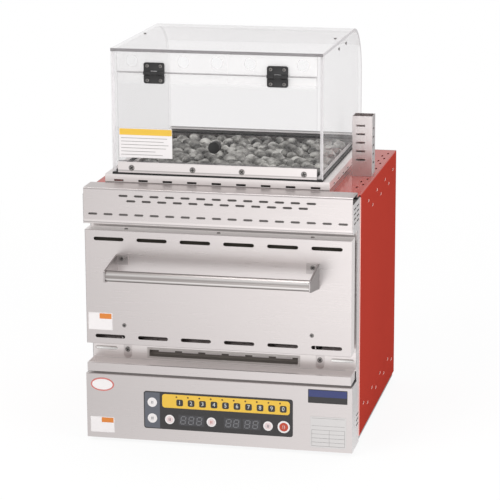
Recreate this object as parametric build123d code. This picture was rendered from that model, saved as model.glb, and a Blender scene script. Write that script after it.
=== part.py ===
from build123d import *
import math
import os

os.makedirs("parts", exist_ok=True)

# Countertop oven for baked potatoes, with a drop-down door, a crumb tray and a clear warming case
# over a bed of hot stones. Millimetres. X runs to the right, Y to the back and Z up. While the
# pieces are modelled, Y = 0 is the front plane of the door and Z = 0 is the worktop.

# ---------------------------------------------------------------- overall sizes
WIDTH = 450.0
DEPTH = 448.0
FOOT_HEIGHT = 7.2
FOOT_RADIUS = 11.0
FOOT_INSET = 40.0

# sheet thicknesses
STEEL = 1.2
SHELL_SHEET = 1.0
THIN_SHEET = 0.8
ACRYLIC = 5.0

# screw heads
HEAD_HEIGHT = 1.0
ARM_SCREW = 3.6
HANDLE_SCREW = 4.2
EDGE_SCREW = 3.2
EDGE_SCREW_PITCH = 155.0
SILL_SCREW = 5.0

# slots of the ventilation patterns
VENT_LENGTH = 16.0
VENT_HEIGHT = 3.4
VENT_MARGIN = 17.8
SIDE_VENT_LENGTH = 22.0
SIDE_VENT_HEIGHT = 3.0
SHELL_VENT_LENGTH = 11.0
SHELL_VENT_HEIGHT = 4.0
SHELL_VENT_PITCH = 88.0
TOP_VENT_INSET = 16.5
REAR_VENT_LENGTH = 34.0
REAR_VENT_PITCH = 55.0
TOP_VENT_PITCH = 45.0

# clearances
FIT = 0.2
SEAT = 0.3
RUNNING = 0.05

# heights of the zones of the front
PANEL_HEIGHT = 111.3
TRAY_GAP = 4.0
LIP_HEIGHT = 14.5
DOOR_LIFT = 33.7
DOOR_HEIGHT = 192.5
HOOD_GAP = 10.0
HOOD_HEIGHT = 60.3
HOOD_RISE = 7.6
HOOD_ROW_UPPER = 11.8
HOOD_ROW_MIDDLE = 20.3
HOOD_ROW_LOWER = 43.3
CROSSBAR_DROP = 45.0
BASE_FRAME_HEIGHT = 21.3
SEAL_HEIGHT = 3.0
CASE_HEIGHT = 205.0

# cabinet
SIDE_STRIP = 65.0
RECESS = 42.0
SHELL_LAP = 15.0
SHELL_LIFT = 8.1
SHELL_BEND = 2.5
PAN_FLANGE = 15.0
PANEL_FLANGE = 12.0

# door
DOOR_SIDE_GAP = 3.5
DOOR_THICKNESS = 30.0
DOOR_AIR_GAP = 8.0
DOOR_SLOT_LENGTH = 51.0
DOOR_SLOT_HEIGHT = 6.0
DOOR_SLOT_MARGIN = 40.25
PRESSING_MARGIN = 40.0
PRESSING_HEIGHT = 3.0
HINGE_X = 163.0
HINGE_BACK = 34.5
HINGE_RISE = 2.5
PIN_RADIUS = 2.2
PIN_HEAD = 1.2
KNUCKLE_RADIUS = 4.0
ARM_THICKNESS = 3.0
EAR_THICKNESS = 2.0
BRACKET_WIDTH = 14.0
BRACKET_SHEET = 1.5
BRACKET_DROP = 30.5
BRACKET_SCREW_DROP = 22.0
BRACKET_SCREW = 4.6
ARM_SCREW_RISE = 33.0
ARM_FOOT = 12.0
ARM_FOOT_HEIGHT = 24.0

# handle
BAR_DIAMETER = 18.0
BAR_REACH = 68.0
BAR_RISE = 133.5
HANDLE_WIDTH = 338.0
CHEEK = 2.5
CHEEK_TOP = 152.5
CHEEK_BOTTOM = 111.5
TAB_WIDTH = 21.0
TAB_HEIGHT = 16.0

# oven cavity
CAVITY_SIDE = 39.0
CAVITY_HEIGHT = 149.0
CAVITY_BEHIND = 44.8
CAVITY_RISE = 24.5
BLANKET = 20.0
HEATER_RADIUS = 4.0
HEATER_FRONT = 90.0
HEATER_PITCH = 180.0
BUSH = 12.0
BUSH_PROUD = 6.0
UPPER_HEATER_DROP = 15.0
LOWER_HEATER_RISE = 10.0
PROBE_RADIUS = 3.0
PROBE_DROP = 12.0
PROBE_REACH = 35.0
CRUMB_PAN_WALL = 3.0
GASKET_WIDTH = 8.0
END_SLOT_LENGTH = 40.0
END_SLOT_HEIGHT = 6.0
END_SLOT_RISE = 16.4
INTAKE_WIDTH = 252.0
INTAKE_HEIGHT = 11.4
INTAKE_RISE = 5.8
INTAKE_DEPTH = 14.0
INTAKE_RIM = 3.6
RACK_RISE = 24.0
RACK_ROD = 2.0
RACK_RODS = 9
RAIL_DEPTH = 9.0

# crumb tray
TRAY_SIDE_GAP = 20.0
TRAY_DEPTH = 110.0
TRAY_WALL = 11.2
TRAY_HEM = 5.0
RUNNER_WIDTH = 12.0

# membrane key panel
MEMBRANE_WIDTH = 251.5
MEMBRANE_HEIGHT = 64.0
MEMBRANE_RISE = 22.0
MEMBRANE_SHEET = 0.8
MEMBRANE_CORNER = 3.0
KEY_PITCH = 19.38
KEY_SIZE = 11.5
KEY_PROUD = 0.4
ROUND_KEY_RADIUS = 8.0
STOP_KEY_RADIUS = 10.3
KEY_ROW_RISE = 47.0
KEY_ROW_MIDDLE = 148.5
ROUND_KEYS = ((14.5, 45.3), (14.5, 17.9), (44.0, 17.3), (114.8, 17.1), (210.2, 16.6))
STOP_KEY = (236.5, 16.6)

# control electrics
BOARD_BACK = 14.0
BOARD_SHEET = 1.6
PILLAR = 5.0
DISPLAY_HEIGHT = 16.0
DISPLAY_RISE = 9.5
DISPLAY_SPANS = ((-66, -24), (11, 39), (43, 71))
TRANSFORMER = 24.0
CONTACTOR_WIDTH = 45.0
CONTACTOR_HEIGHT = 50.0
CONTACTOR_DEPTH = 75.0
CONTACTOR_PITCH = 60.0
CONTACTOR_SIDE_GAP = 28.0
CONTACTOR_BACK_GAP = 172.0
COVER_STEP = 6.0
COVER_HEIGHT = 12.0
TERMINAL_BACK_GAP = 42.0
TERMINAL_PITCH = 19.0
TERMINAL_WELL = 12.0
TERMINAL_LENGTH = 80.0
TERMINAL_DEPTH = 25.0
TERMINAL_HEIGHT = 22.0

# warming case
CASE_SIDE_GAP = 38.5
CASE_FLUE_GAP = 21.0
CASE_FRONT = 50.0
CASE_BACK = 430.0
CASE_BEND = 85.0
STILE = 9.5
SILL_HEIGHT = 18.0
STRIP_HEIGHT = 33.0
STRIP_HOLE_RADIUS = 9.5
FLAP_GAP = 1.0
FRAME_MARGIN = 12.0
FRAME_FRONT_MARGIN = 2.5
FRAME_VENT_DROP = 10.0
FRAME_VENT_MARGIN = 23.1

# butterfly hinges of the flap
LEAF_WIDTH = 34.5
LEAF_HEIGHT = 13.5
LEAF_SHEET = 4.0
LEAF_GAP = 3.7
LEAF_CORNER = 3.0
BARREL_RADIUS = 3.2
FLAP_HINGE_X = 102.0
FLAP_PIN_RADIUS = 1.5
KNOB_RADIUS = 9.5
KNOB_LENGTH = 25.0
KNOB_RISE = 32.0
KNOB_NECK = 6.2
KNOB_EDGE = 1.2
WASHER_RADIUS = 7.5
WASHER_HEIGHT = 2.0
NUT_RADIUS = 4.0
NUT_HEIGHT = 2.5

# stones
PAN_DEPTH = 28.0
PAN_FLANGE_WIDTH = 6.0
STONE_LEVEL = 3.0
STONE_PITCH = 44.0
STONE_CROWN = 7.0
WELL_DEPTH = 28.0
WELL_MARGIN = 7.0
WELL_RIM = 2.0

# flue
FLUE_WIDTH = 33.8
FLUE_DEPTH = 30.0
FLUE_HEIGHT = 102.3
FLUE_FRONT = 210.0
FLUE_INSET = 5.7
VENT_SIDE = 26.0
VENT_INSET = 10.0
DUCT_HEIGHT = 18.0

# cable inlet
GLAND_INSET = 75.0
GLAND_Z = 60.0
GLAND_BORE = 5.0
GLAND_RADIUS = 10.0
GLAND_PROUD = 12.0
GLAND_NECK = 7.0
GLAND_NUT = 5.0

# places along the case, as shares of its width from the middle
STEAM_HOLE_SHARES = (-0.399, -0.154, 0.003, 0.16, 0.407)
SILL_SCREW_SHARES = (-0.407, -0.114, 0.12, 0.413)

# ---------------------------------------------------------------- levels and planes worked out
VENT_PITCH = (WIDTH - 2 * VENT_MARGIN) / 16
PANEL_BOTTOM = FOOT_HEIGHT - STEEL
PANEL_TOP = PANEL_BOTTOM + PANEL_HEIGHT
SHELF_TOP = PANEL_TOP - STEEL
TRAY_BOTTOM = PANEL_TOP + TRAY_GAP
LIP_TOP = TRAY_BOTTOM + LIP_HEIGHT
DOOR_BOTTOM = LIP_TOP + DOOR_LIFT
DOOR_TOP = DOOR_BOTTOM + DOOR_HEIGHT
HOOD_BOTTOM = DOOR_TOP + HOOD_GAP
HOOD_TOP = HOOD_BOTTOM + HOOD_HEIGHT
SHELL_TOP = HOOD_TOP - HOOD_RISE
FRAME_TOP = SHELL_TOP + BASE_FRAME_HEIGHT
CASE_BOTTOM = FRAME_TOP + SEAL_HEIGHT
CASE_TOP = CASE_BOTTOM + CASE_HEIGHT
SHELL_BOTTOM = FOOT_HEIGHT + SHELL_LIFT
BAR_TOP = SHELL_TOP - SHELL_SHEET - FIT / 2
FRAME_OUT = WIDTH / 2 - SHELL_SHEET
FRAME_IN = FRAME_OUT - STEEL
INNER_X = FRAME_IN - FIT
PANEL_BACK = 2 * STEEL
REAR_FACE = DEPTH - STEEL
PLATE_BOTTOM = TRAY_BOTTOM + STEEL + TRAY_WALL + SEAT
HINGE_Z = DOOR_BOTTOM + HINGE_RISE
DOOR_WIDTH = WIDTH - 2 * DOOR_SIDE_GAP
TRAY_WIDTH = WIDTH - 2 * TRAY_SIDE_GAP
CAVITY_FLOOR = DOOR_BOTTOM + CAVITY_RISE
CAVITY_CEILING = CAVITY_FLOOR + CAVITY_HEIGHT
CAVITY_WIDTH = WIDTH - 2 * CAVITY_SIDE
CAVITY_REAR = DEPTH - CAVITY_BEHIND
CASE_LEFT = CASE_SIDE_GAP - WIDTH / 2
CASE_RIGHT = WIDTH / 2 - FLUE_INSET - FLUE_WIDTH - CASE_FLUE_GAP
CASE_WIDTH = CASE_RIGHT - CASE_LEFT
CASE_CENTRE = (CASE_RIGHT + CASE_LEFT) / 2
OPENING_LEFT = CASE_LEFT + STILE
OPENING_RIGHT = CASE_RIGHT - STILE
STRIP_BOTTOM = CASE_TOP - ACRYLIC - STRIP_HEIGHT
SILL_TOP = CASE_BOTTOM + SILL_HEIGHT
FLAP_TOP = STRIP_BOTTOM - FLAP_GAP
FLAP_BOTTOM = SILL_TOP + FLAP_GAP
FLAP_AXIS_Z = STRIP_BOTTOM - FLAP_GAP / 2
FLAP_AXIS_Y = CASE_FRONT - LEAF_SHEET - FIT
FRONT_REACH = BAR_REACH + BAR_DIAMETER / 2
REAR_REACH = DEPTH + GLAND_PROUD
GLAND_X = GLAND_INSET - WIDTH / 2
ORIGIN_Y = (REAR_REACH - FRONT_REACH) / 2


# ---------------------------------------------------------------- helpers
def block(x0, x1, y0, y1, z0, z1):
    """A rectangular block between two corners."""
    return Pos((x0 + x1) / 2, (y0 + y1) / 2, (z0 + z1) / 2) * Box(x1 - x0, y1 - y0, z1 - z0)


def bar(start, end, shape):
    """A bar of one cross section between two points."""
    start = Vector(*start)
    end = Vector(*end)
    return extrude(Plane(origin=start, z_dir=end - start) * shape, (end - start).length)


def rod(start, end, radius):
    """A round rod between two points."""
    return bar(start, end, Circle(radius))


def flatted(radius):
    """The six-sided end of a hinge pin, which keeps it from turning."""
    return RegularPolygon(radius, 6)


def slot_shape(length, height, steps):
    """The outline of a slot, each end turned in the given number of steps (one is square)."""
    half = height / 2
    reach = length / 2 - (half if steps > 1 else 0)
    turns = [math.pi * (i / steps - 0.5) for i in range(steps + 1)]
    right = [(reach + half * math.cos(turn), half * math.sin(turn)) for turn in turns]
    left = [(-u, -v) for u, v in right]
    return make_face(Polyline(*right, *left, close=True))


def slots(plane, centres, length, height, through, steps=1):
    """Cutters for a pattern of equal slots, each running both ways from its plane."""
    shape = slot_shape(length, height, steps)
    return [extrude(plane * Pos(u, v) * shape, through, both=True) for u, v in centres]


def row(count, pitch, level, centre=0.0):
    """Evenly spaced places along a line, about its centre."""
    return [(centre + (i - (count - 1) / 2) * pitch, level) for i in range(count)]


def folded(plane, points, bend, sheet, length):
    """Sheet metal folded along its middle line and extruded to its length."""
    return extrude(plane * trace(FilletPolyline(*points, radius=bend), sheet), length)


def screw_head(x, y, z, radius, direction=(0, -1, 0)):
    """A low screw head that lies on a face and looks along the direction."""
    plane = Plane(origin=(x, y, z), z_dir=direction)
    return extrude(plane * RegularPolygon(radius, 8), HEAD_HEIGHT)


def save(shape, name):
    """Write one sub-part, moved so that the origin is under the middle of the whole object."""
    solids = Compound(children=[s for s in (Pos(0, -ORIGIN_Y, 0) * shape).solids()])
    export_step(solids, f"parts/{name}.step")


# ---------------------------------------------------------------- base and frame
def rubber_feet():
    feet = []
    for x in (-WIDTH / 2 + FOOT_INSET, WIDTH / 2 - FOOT_INSET):
        for y in (FOOT_INSET, DEPTH - FOOT_INSET):
            feet.append(bar((x, y, 0), (x, y, FOOT_HEIGHT), RegularPolygon(FOOT_RADIUS, 12)))
    return Compound(children=feet)


def base_pan():
    pan = block(-INNER_X, INNER_X, PANEL_BACK, REAR_FACE - FIT, FOOT_HEIGHT, FOOT_HEIGHT + PAN_FLANGE)
    hollow = block(
        -INNER_X + STEEL, INNER_X - STEEL, PANEL_BACK + STEEL, REAR_FACE - FIT - STEEL,
        FOOT_HEIGHT + STEEL, FOOT_HEIGHT + PAN_FLANGE + STEEL,
    )
    pitch = WIDTH / 7.5
    places = row(5, pitch, DEPTH * 0.3) + row(5, pitch, DEPTH * 0.7)
    vents = slots(Plane.XY, places, pitch * 2 / 3, DOOR_SLOT_HEIGHT, 2 * DEPTH)
    return pan - hollow - vents


def side_frame(side):
    """The C-shaped stainless side plate: full depth beside the control panel and the hood, and cut
    back to the front plate beside the door."""
    top = SHELL_TOP - SHELL_SHEET - SHELL_BEND
    strip = SIDE_STRIP - FIT
    rear = SIDE_STRIP + SHELL_LAP
    outline = Polyline(
        (STEEL, PANEL_BOTTOM), (strip, PANEL_BOTTOM), (strip, SHELL_BOTTOM), (rear, SHELL_BOTTOM),
        (rear, top), (STEEL, top), (STEEL, HOOD_BOTTOM), (RECESS, HOOD_BOTTOM),
        (RECESS, PANEL_TOP), (STEEL, PANEL_TOP), close=True,
    )
    plate = Pos(side * FRAME_IN, 0, 0) * extrude(Plane.YZ * make_face(outline), side * STEEL)
    upper = [(y, HOOD_TOP - HOOD_ROW_MIDDLE - 8 * i) for i in range(4) for y in (15, 42)]
    lower = [(SIDE_STRIP - 14, PANEL_BOTTOM + 52 - 8.5 * i) for i in range(3)]
    return plate - slots(Plane.YZ, upper + lower, SIDE_VENT_LENGTH, SIDE_VENT_HEIGHT, WIDTH)


def control_panel():
    flange = PANEL_FLANGE
    half = STEEL / 2
    section = [
        (flange, PANEL_TOP - half), (half, PANEL_TOP - half),
        (half, PANEL_BOTTOM + half), (flange, PANEL_BOTTOM + half),
    ]
    panel = Pos(-FRAME_OUT, 0, 0) * folded(Plane.YZ, section, 1.0, STEEL, 2 * FRAME_OUT)
    for side in (-1, 1):
        edge = side * (INNER_X + FRAME_OUT) / 2
        reach = (FRAME_OUT - INNER_X) / 2 + FIT
        panel -= block(edge - reach, edge + reach, STEEL, 2 * flange, 0, PANEL_TOP + STEEL)
    window = block(
        -MEMBRANE_WIDTH / 2 + 20, MEMBRANE_WIDTH / 2 - 20, -STEEL, 2 * STEEL,
        PANEL_BOTTOM + MEMBRANE_RISE + 9, PANEL_BOTTOM + MEMBRANE_RISE + MEMBRANE_HEIGHT / 2,
    )
    return panel - window


def key_membrane():
    """Printed key sheet with its embossed keys: ten square ones over a row of round ones."""
    base = PANEL_BOTTOM + MEMBRANE_RISE
    left = -MEMBRANE_WIDTH / 2
    shape = Rectangle(MEMBRANE_WIDTH, MEMBRANE_HEIGHT)
    shape = chamfer(shape.vertices(), MEMBRANE_CORNER)
    sheet = extrude(Plane.XZ * Pos(0, base + MEMBRANE_HEIGHT / 2) * shape, MEMBRANE_SHEET)
    face = Plane.XZ.offset(MEMBRANE_SHEET)
    for x, z in row(10, KEY_PITCH, base + KEY_ROW_RISE, left + KEY_ROW_MIDDLE):
        sheet += extrude(face * Pos(x, z) * Rectangle(KEY_SIZE, KEY_SIZE), KEY_PROUD)
    for x, z in ROUND_KEYS:
        key = Pos(left + x, base + z) * RegularPolygon(ROUND_KEY_RADIUS, 8)
        sheet += extrude(face * key, KEY_PROUD)
    stop = Pos(left + STOP_KEY[0], base + STOP_KEY[1]) * RegularPolygon(STOP_KEY_RADIUS, 12)
    return sheet + extrude(face * stop, KEY_PROUD)


def control_board():
    """Circuit board behind the key sheet, on four pillars, with its displays and transformer."""
    low = PANEL_BOTTOM + MEMBRANE_RISE
    high = low + MEMBRANE_HEIGHT
    back = BOARD_BACK + BOARD_SHEET
    half = MEMBRANE_WIDTH / 2 - PILLAR
    board = block(-half, half, BOARD_BACK, back, low, high)
    for x in (-half + PILLAR, half - PILLAR):
        for z in (low + PILLAR, high - PILLAR):
            board += block(
                x - PILLAR / 2, x + PILLAR / 2, STEEL, BOARD_BACK, z - PILLAR / 2, z + PILLAR / 2
            )
    for left, right in DISPLAY_SPANS:
        board += block(
            left, right, 2 * STEEL, BOARD_BACK, low + DISPLAY_RISE, low + DISPLAY_RISE + DISPLAY_HEIGHT
        )
    return board + block(
        -half / 2, TRANSFORMER - half / 2, back, back + TRANSFORMER, high - 1.5 * TRANSFORMER,
        high - TRANSFORMER / 2,
    )


def power_contactors():
    """Two contactors on the base pan: a body with a narrower armature cover on top."""
    floor = FOOT_HEIGHT + STEEL
    bodies = []
    back = REAR_FACE - CONTACTOR_BACK_GAP
    front = back - CONTACTOR_DEPTH
    cover = floor + CONTACTOR_HEIGHT
    for i in range(2):
        right = INNER_X - CONTACTOR_SIDE_GAP - i * CONTACTOR_PITCH
        left = right - CONTACTOR_WIDTH
        body = block(left, right, front, back, floor, cover)
        body += block(
            left + COVER_STEP, right - COVER_STEP, front + COVER_STEP, back - COVER_STEP,
            cover, cover + COVER_HEIGHT,
        )
        bodies.append(body)
    return Compound(children=bodies)


def terminal_block():
    """Four-way terminal strip by the cable gland, with a well for each way."""
    floor = FOOT_HEIGHT + STEEL
    low = GLAND_X - TERMINAL_LENGTH / 2
    back = REAR_FACE - TERMINAL_BACK_GAP
    top = floor + TERMINAL_HEIGHT
    strip = block(low, low + TERMINAL_LENGTH, back - TERMINAL_DEPTH, back, floor, top)
    well = Box(TERMINAL_WELL, 3 * TERMINAL_DEPTH, TERMINAL_HEIGHT)
    return strip - [Pos(x, back, top) * well for x, _ in row(4, TERMINAL_PITCH, top, GLAND_X)]


def divider_shelf():
    return block(-INNER_X, INNER_X, PANEL_BACK, REAR_FACE - FIT, SHELF_TOP - STEEL, SHELF_TOP)


# ---------------------------------------------------------------- oven
def front_plate():
    plate = block(-INNER_X, INNER_X, RECESS, RECESS + STEEL, PLATE_BOTTOM, SHELL_TOP - 3 * STEEL)
    mouth = block(
        -CAVITY_WIDTH / 2, CAVITY_WIDTH / 2, 0, DEPTH, CAVITY_FLOOR, CAVITY_CEILING
    )
    intake = intake_block(THIN_SHEET + FIT, RECESS - STEEL, RECESS + 2 * STEEL)
    x = INNER_X - END_SLOT_LENGTH / 2 - 2 * STEEL
    ends = [(-x, PLATE_BOTTOM + END_SLOT_RISE), (x, PLATE_BOTTOM + END_SLOT_RISE)]
    ends = slots(Plane.XZ, ends, END_SLOT_LENGTH, END_SLOT_HEIGHT, DEPTH, steps=2)
    return plate - mouth - intake - ends


def intake_block(grow, front, back):
    """The block that the air intake takes in the front plate, larger by grow on each side."""
    low = PLATE_BOTTOM + INTAKE_RISE
    half = INTAKE_WIDTH / 2 + grow
    return block(-half, half, front, back, low - grow, low + INTAKE_HEIGHT + grow)


def intake_channel():
    """Box behind the air intake, with a flat rim on the face of the front plate."""
    face = RECESS - THIN_SHEET
    back = RECESS + STEEL + INTAKE_DEPTH
    body = intake_block(INTAKE_RIM, face, RECESS)
    body += intake_block(THIN_SHEET, face, back)
    body -= intake_block(0, face - 1, back - THIN_SHEET)
    low = PLATE_BOTTOM + INTAKE_RISE + INTAKE_HEIGHT / 2
    pitch = INTAKE_WIDTH / 6.3
    return body - slots(Plane.XZ, row(6, pitch, low), 0.7 * pitch, VENT_HEIGHT, DEPTH)


def hinge_brackets():
    """Fixed halves of the door hinges: a leaf on the front plate with a round end and two ears."""
    face = RECESS - BRACKET_SHEET
    half = BRACKET_WIDTH / 2
    foot_z = HINGE_Z - BRACKET_DROP
    knuckle = RegularPolygon(KNUCKLE_RADIUS, 12)
    keyed = flatted(PIN_RADIUS)
    brackets = []
    for side in (-1, 1):
        x = side * HINGE_X
        bracket = block(x - half, x + half, face, RECESS, foot_z, HINGE_Z + KNUCKLE_RADIUS)
        bracket += bar((x, face, foot_z), (x, RECESS, foot_z), RegularPolygon(half, 16))
        for inner in (-1, 1):
            near = x + inner * (ARM_THICKNESS / 2 + FIT)
            web = sorted((near, near + inner * EAR_THICKNESS))
            bracket += bar((web[0], HINGE_BACK, HINGE_Z), (web[1], HINGE_BACK, HINGE_Z), knuckle)
            bracket += block(
                *web, HINGE_BACK, face, HINGE_Z - KNUCKLE_RADIUS, HINGE_Z + KNUCKLE_RADIUS
            )
        bore = bar((x - half, HINGE_BACK, HINGE_Z), (x + half, HINGE_BACK, HINGE_Z), keyed)
        brackets.append(bracket - bore)
    return Compound(children=brackets)


def hinge_pins():
    """Pins of the door hinges: round under the arm, flatted in the ears, headed at the ends."""
    inner = ARM_THICKNESS / 2 + FIT
    outer = inner + EAR_THICKNESS
    keyed = flatted(PIN_RADIUS)
    head = RegularPolygon(PIN_RADIUS + 1, 10)
    pins = []
    for side in (-1, 1):
        x = side * HINGE_X
        pin = rod((x - inner, HINGE_BACK, HINGE_Z), (x + inner, HINGE_BACK, HINGE_Z), PIN_RADIUS)
        for end in (-1, 1):
            shoulder = (x + end * inner, HINGE_BACK, HINGE_Z)
            neck = (x + end * outer, HINGE_BACK, HINGE_Z)
            tip = (x + end * (outer + PIN_HEAD), HINGE_BACK, HINGE_Z)
            pin += bar(shoulder, neck, keyed)
            pin += bar(neck, tip, head)
        pins.append(pin)
    return Compound(children=pins)


def oven_liner():
    """The welded cavity, open to the front, with passages for the heaters, probe and exhaust."""
    half = CAVITY_WIDTH / 2
    liner = block(
        -half - STEEL, half + STEEL, RECESS + STEEL, CAVITY_REAR + STEEL,
        CAVITY_FLOOR - STEEL, CAVITY_CEILING + STEEL,
    )
    liner -= block(-half, half, 0, CAVITY_REAR, CAVITY_FLOOR, CAVITY_CEILING)
    liner -= vent_block(0, CAVITY_CEILING - STEEL, CAVITY_CEILING + 2 * STEEL)
    liner -= [bush_passage(y, z) for y, z in heater_places()]
    return liner - probe_rod(FIT)


def upper_heater_z():
    return CAVITY_CEILING - UPPER_HEATER_DROP


def lower_heater_z():
    return CAVITY_FLOOR + LOWER_HEATER_RISE


def heater_depths():
    """How far back each heater of a pair lies."""
    return [RECESS + STEEL + HEATER_FRONT + i * HEATER_PITCH for i in range(2)]


def heater_places():
    return [(y, z) for y in heater_depths() for z in (upper_heater_z(), lower_heater_z())]


def bush_passage(y, z):
    """The square way through both side walls for the bushes of one heater."""
    half = BUSH / 2 + FIT
    return block(-WIDTH, WIDTH, y - half, y + half, z - half, z + half)


def straight_heater(reach, y, z, centre=0.0):
    """A sheathed heating rod across the oven, with a square ceramic bush on each end."""
    sheath = RegularPolygon(HEATER_RADIUS, 8)
    heater = bar((centre - reach, y, z), (centre + reach, y, z), sheath)
    length = BLANKET + 2 * BUSH_PROUD
    for side in (-1, 1):
        outer = centre + side * (reach - BUSH_PROUD)
        span = sorted((outer, outer - side * length))
        heater += block(*span, y - BUSH / 2, y + BUSH / 2, z - BUSH / 2, z + BUSH / 2)
    return heater


def heaters(z):
    reach = CAVITY_WIDTH / 2 + STEEL + BLANKET + 2 * BUSH_PROUD
    return Compound(children=[straight_heater(reach, y, z) for y in heater_depths()])


def probe_rod(grow):
    rear = CAVITY_REAR + STEEL + BLANKET + BUSH_PROUD
    z = CAVITY_CEILING - PROBE_DROP
    section = RegularPolygon(PROBE_RADIUS + grow, 12)
    return bar((0, CAVITY_REAR - PROBE_REACH, z), (0, rear, z), section)


def thermostat_probe():
    return probe_rod(0)


def vent_left():
    return CAVITY_WIDTH / 2 - VENT_INSET - VENT_SIDE


def vent_block(grow, low, high):
    """The upright passage from the cavity's ceiling into the exhaust duct."""
    x0 = vent_left()
    y0 = FLUE_FRONT + SHELL_SHEET + THIN_SHEET
    y1 = FLUE_FRONT + FLUE_DEPTH - SHELL_SHEET - THIN_SHEET
    return block(x0 - grow, x0 + VENT_SIDE + grow, y0 - grow, y1 + grow, low, high)


def insulation_blanket():
    half = CAVITY_WIDTH / 2 + STEEL
    front = RECESS + STEEL
    rear = CAVITY_REAR + STEEL
    blanket = block(
        -half - BLANKET, half + BLANKET, front, rear + BLANKET,
        CAVITY_FLOOR - STEEL, CAVITY_CEILING + STEEL + BLANKET,
    )
    blanket -= block(-half, half, 0, rear, CAVITY_FLOOR - 2 * STEEL, CAVITY_CEILING + STEEL)
    blanket -= vent_block(THIN_SHEET, CAVITY_CEILING, CAVITY_CEILING + 2 * BLANKET)
    blanket -= [bush_passage(y, z) for y, z in heater_places()]
    return blanket - probe_rod(FIT)


def rack_rails():
    """Angles along the cavity's side walls that carry the rack."""
    z = CAVITY_FLOOR + RACK_RISE - RACK_ROD
    rails = []
    for side in (-1, 1):
        wall = side * CAVITY_WIDTH / 2
        inner = wall - side * RAIL_DEPTH
        shelf = block(*sorted((wall, inner)), RECESS + 12, CAVITY_REAR - 8, z - STEEL, z)
        lip = block(*sorted((wall, wall - side * STEEL)), RECESS + 12, CAVITY_REAR - 8, z - 5, z)
        rails.append(shelf + lip)
    return Compound(children=rails)


def oven_rack():
    """Three cross wires with long wires welded on top of them."""
    z = CAVITY_FLOOR + RACK_RISE
    half = CAVITY_WIDTH / 2 - 2
    front = RECESS + 16
    rear = CAVITY_REAR - 12
    section = RegularPolygon(RACK_ROD, 6, major_radius=False)
    wires = []
    for y in (front, (front + rear) / 2, rear):
        wires.append(block(-half, half, y - RACK_ROD, y + RACK_ROD, z - RACK_ROD, z + RACK_ROD))
    pitch = (2 * half - 40) / (RACK_RODS - 1)
    for x, level in row(RACK_RODS, pitch, z + 2 * RACK_ROD):
        wires.append(bar((x, front - 4, level), (x, rear + 4, level), section))
    return Compound(children=wires)


def crumb_pan():
    """Shallow pan on the cavity's floor, under the lower heaters."""
    half = CAVITY_WIDTH / 2 - 3
    front = RECESS + 8
    rear = CAVITY_REAR - 4
    top = CAVITY_FLOOR + CRUMB_PAN_WALL
    pan = block(-half, half, front, rear, CAVITY_FLOOR, top)
    return pan - block(
        -half + THIN_SHEET, half - THIN_SHEET, front + THIN_SHEET, rear - THIN_SHEET,
        CAVITY_FLOOR + THIN_SHEET, top + 1,
    )


def tray_runners():
    reach = TRAY_WIDTH / 2 - 2
    runners = [
        block(*sorted((s * reach, s * (reach - RUNNER_WIDTH))), RECESS + 4, TRAY_DEPTH + 20,
              SHELF_TOP, TRAY_BOTTOM - SEAT)
        for s in (-1, 1)
    ]
    return Compound(children=runners)


def crumb_tray():
    """Shallow pull-out tray: a wide trough with a lip outside the cabinet and, behind a cross wall,
    a narrower pan that rides on the runners inside."""
    half = DOOR_WIDTH / 2
    back = RECESS - SEAT
    trough = block(-half, half, 0, back, TRAY_BOTTOM, LIP_TOP)
    trough -= block(
        -half + STEEL, half - STEEL, STEEL, back + 1, TRAY_BOTTOM + STEEL, LIP_TOP + 1
    )
    hem = folded(
        Plane.YZ,
        [(STEEL / 2, LIP_TOP - 6), (STEEL / 2, LIP_TOP - STEEL / 2), (TRAY_HEM, LIP_TOP - STEEL / 2)],
        1.0, STEEL, 2 * half - 2 * STEEL,
    )
    trough += Pos(-half + STEEL, 0, 0) * hem
    inner = TRAY_WIDTH / 2
    wall_top = TRAY_BOTTOM + STEEL + TRAY_WALL
    pan = block(-inner, inner, back - STEEL, TRAY_DEPTH, TRAY_BOTTOM, wall_top)
    pan -= block(
        -inner + STEEL, inner - STEEL, back, TRAY_DEPTH - STEEL,
        TRAY_BOTTOM + STEEL, wall_top + 1,
    )
    ears = [
        block(*sorted((s * inner, s * half)), back - STEEL, back, TRAY_BOTTOM, LIP_TOP)
        for s in (-1, 1)
    ]
    return trough + pan + ears


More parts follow.
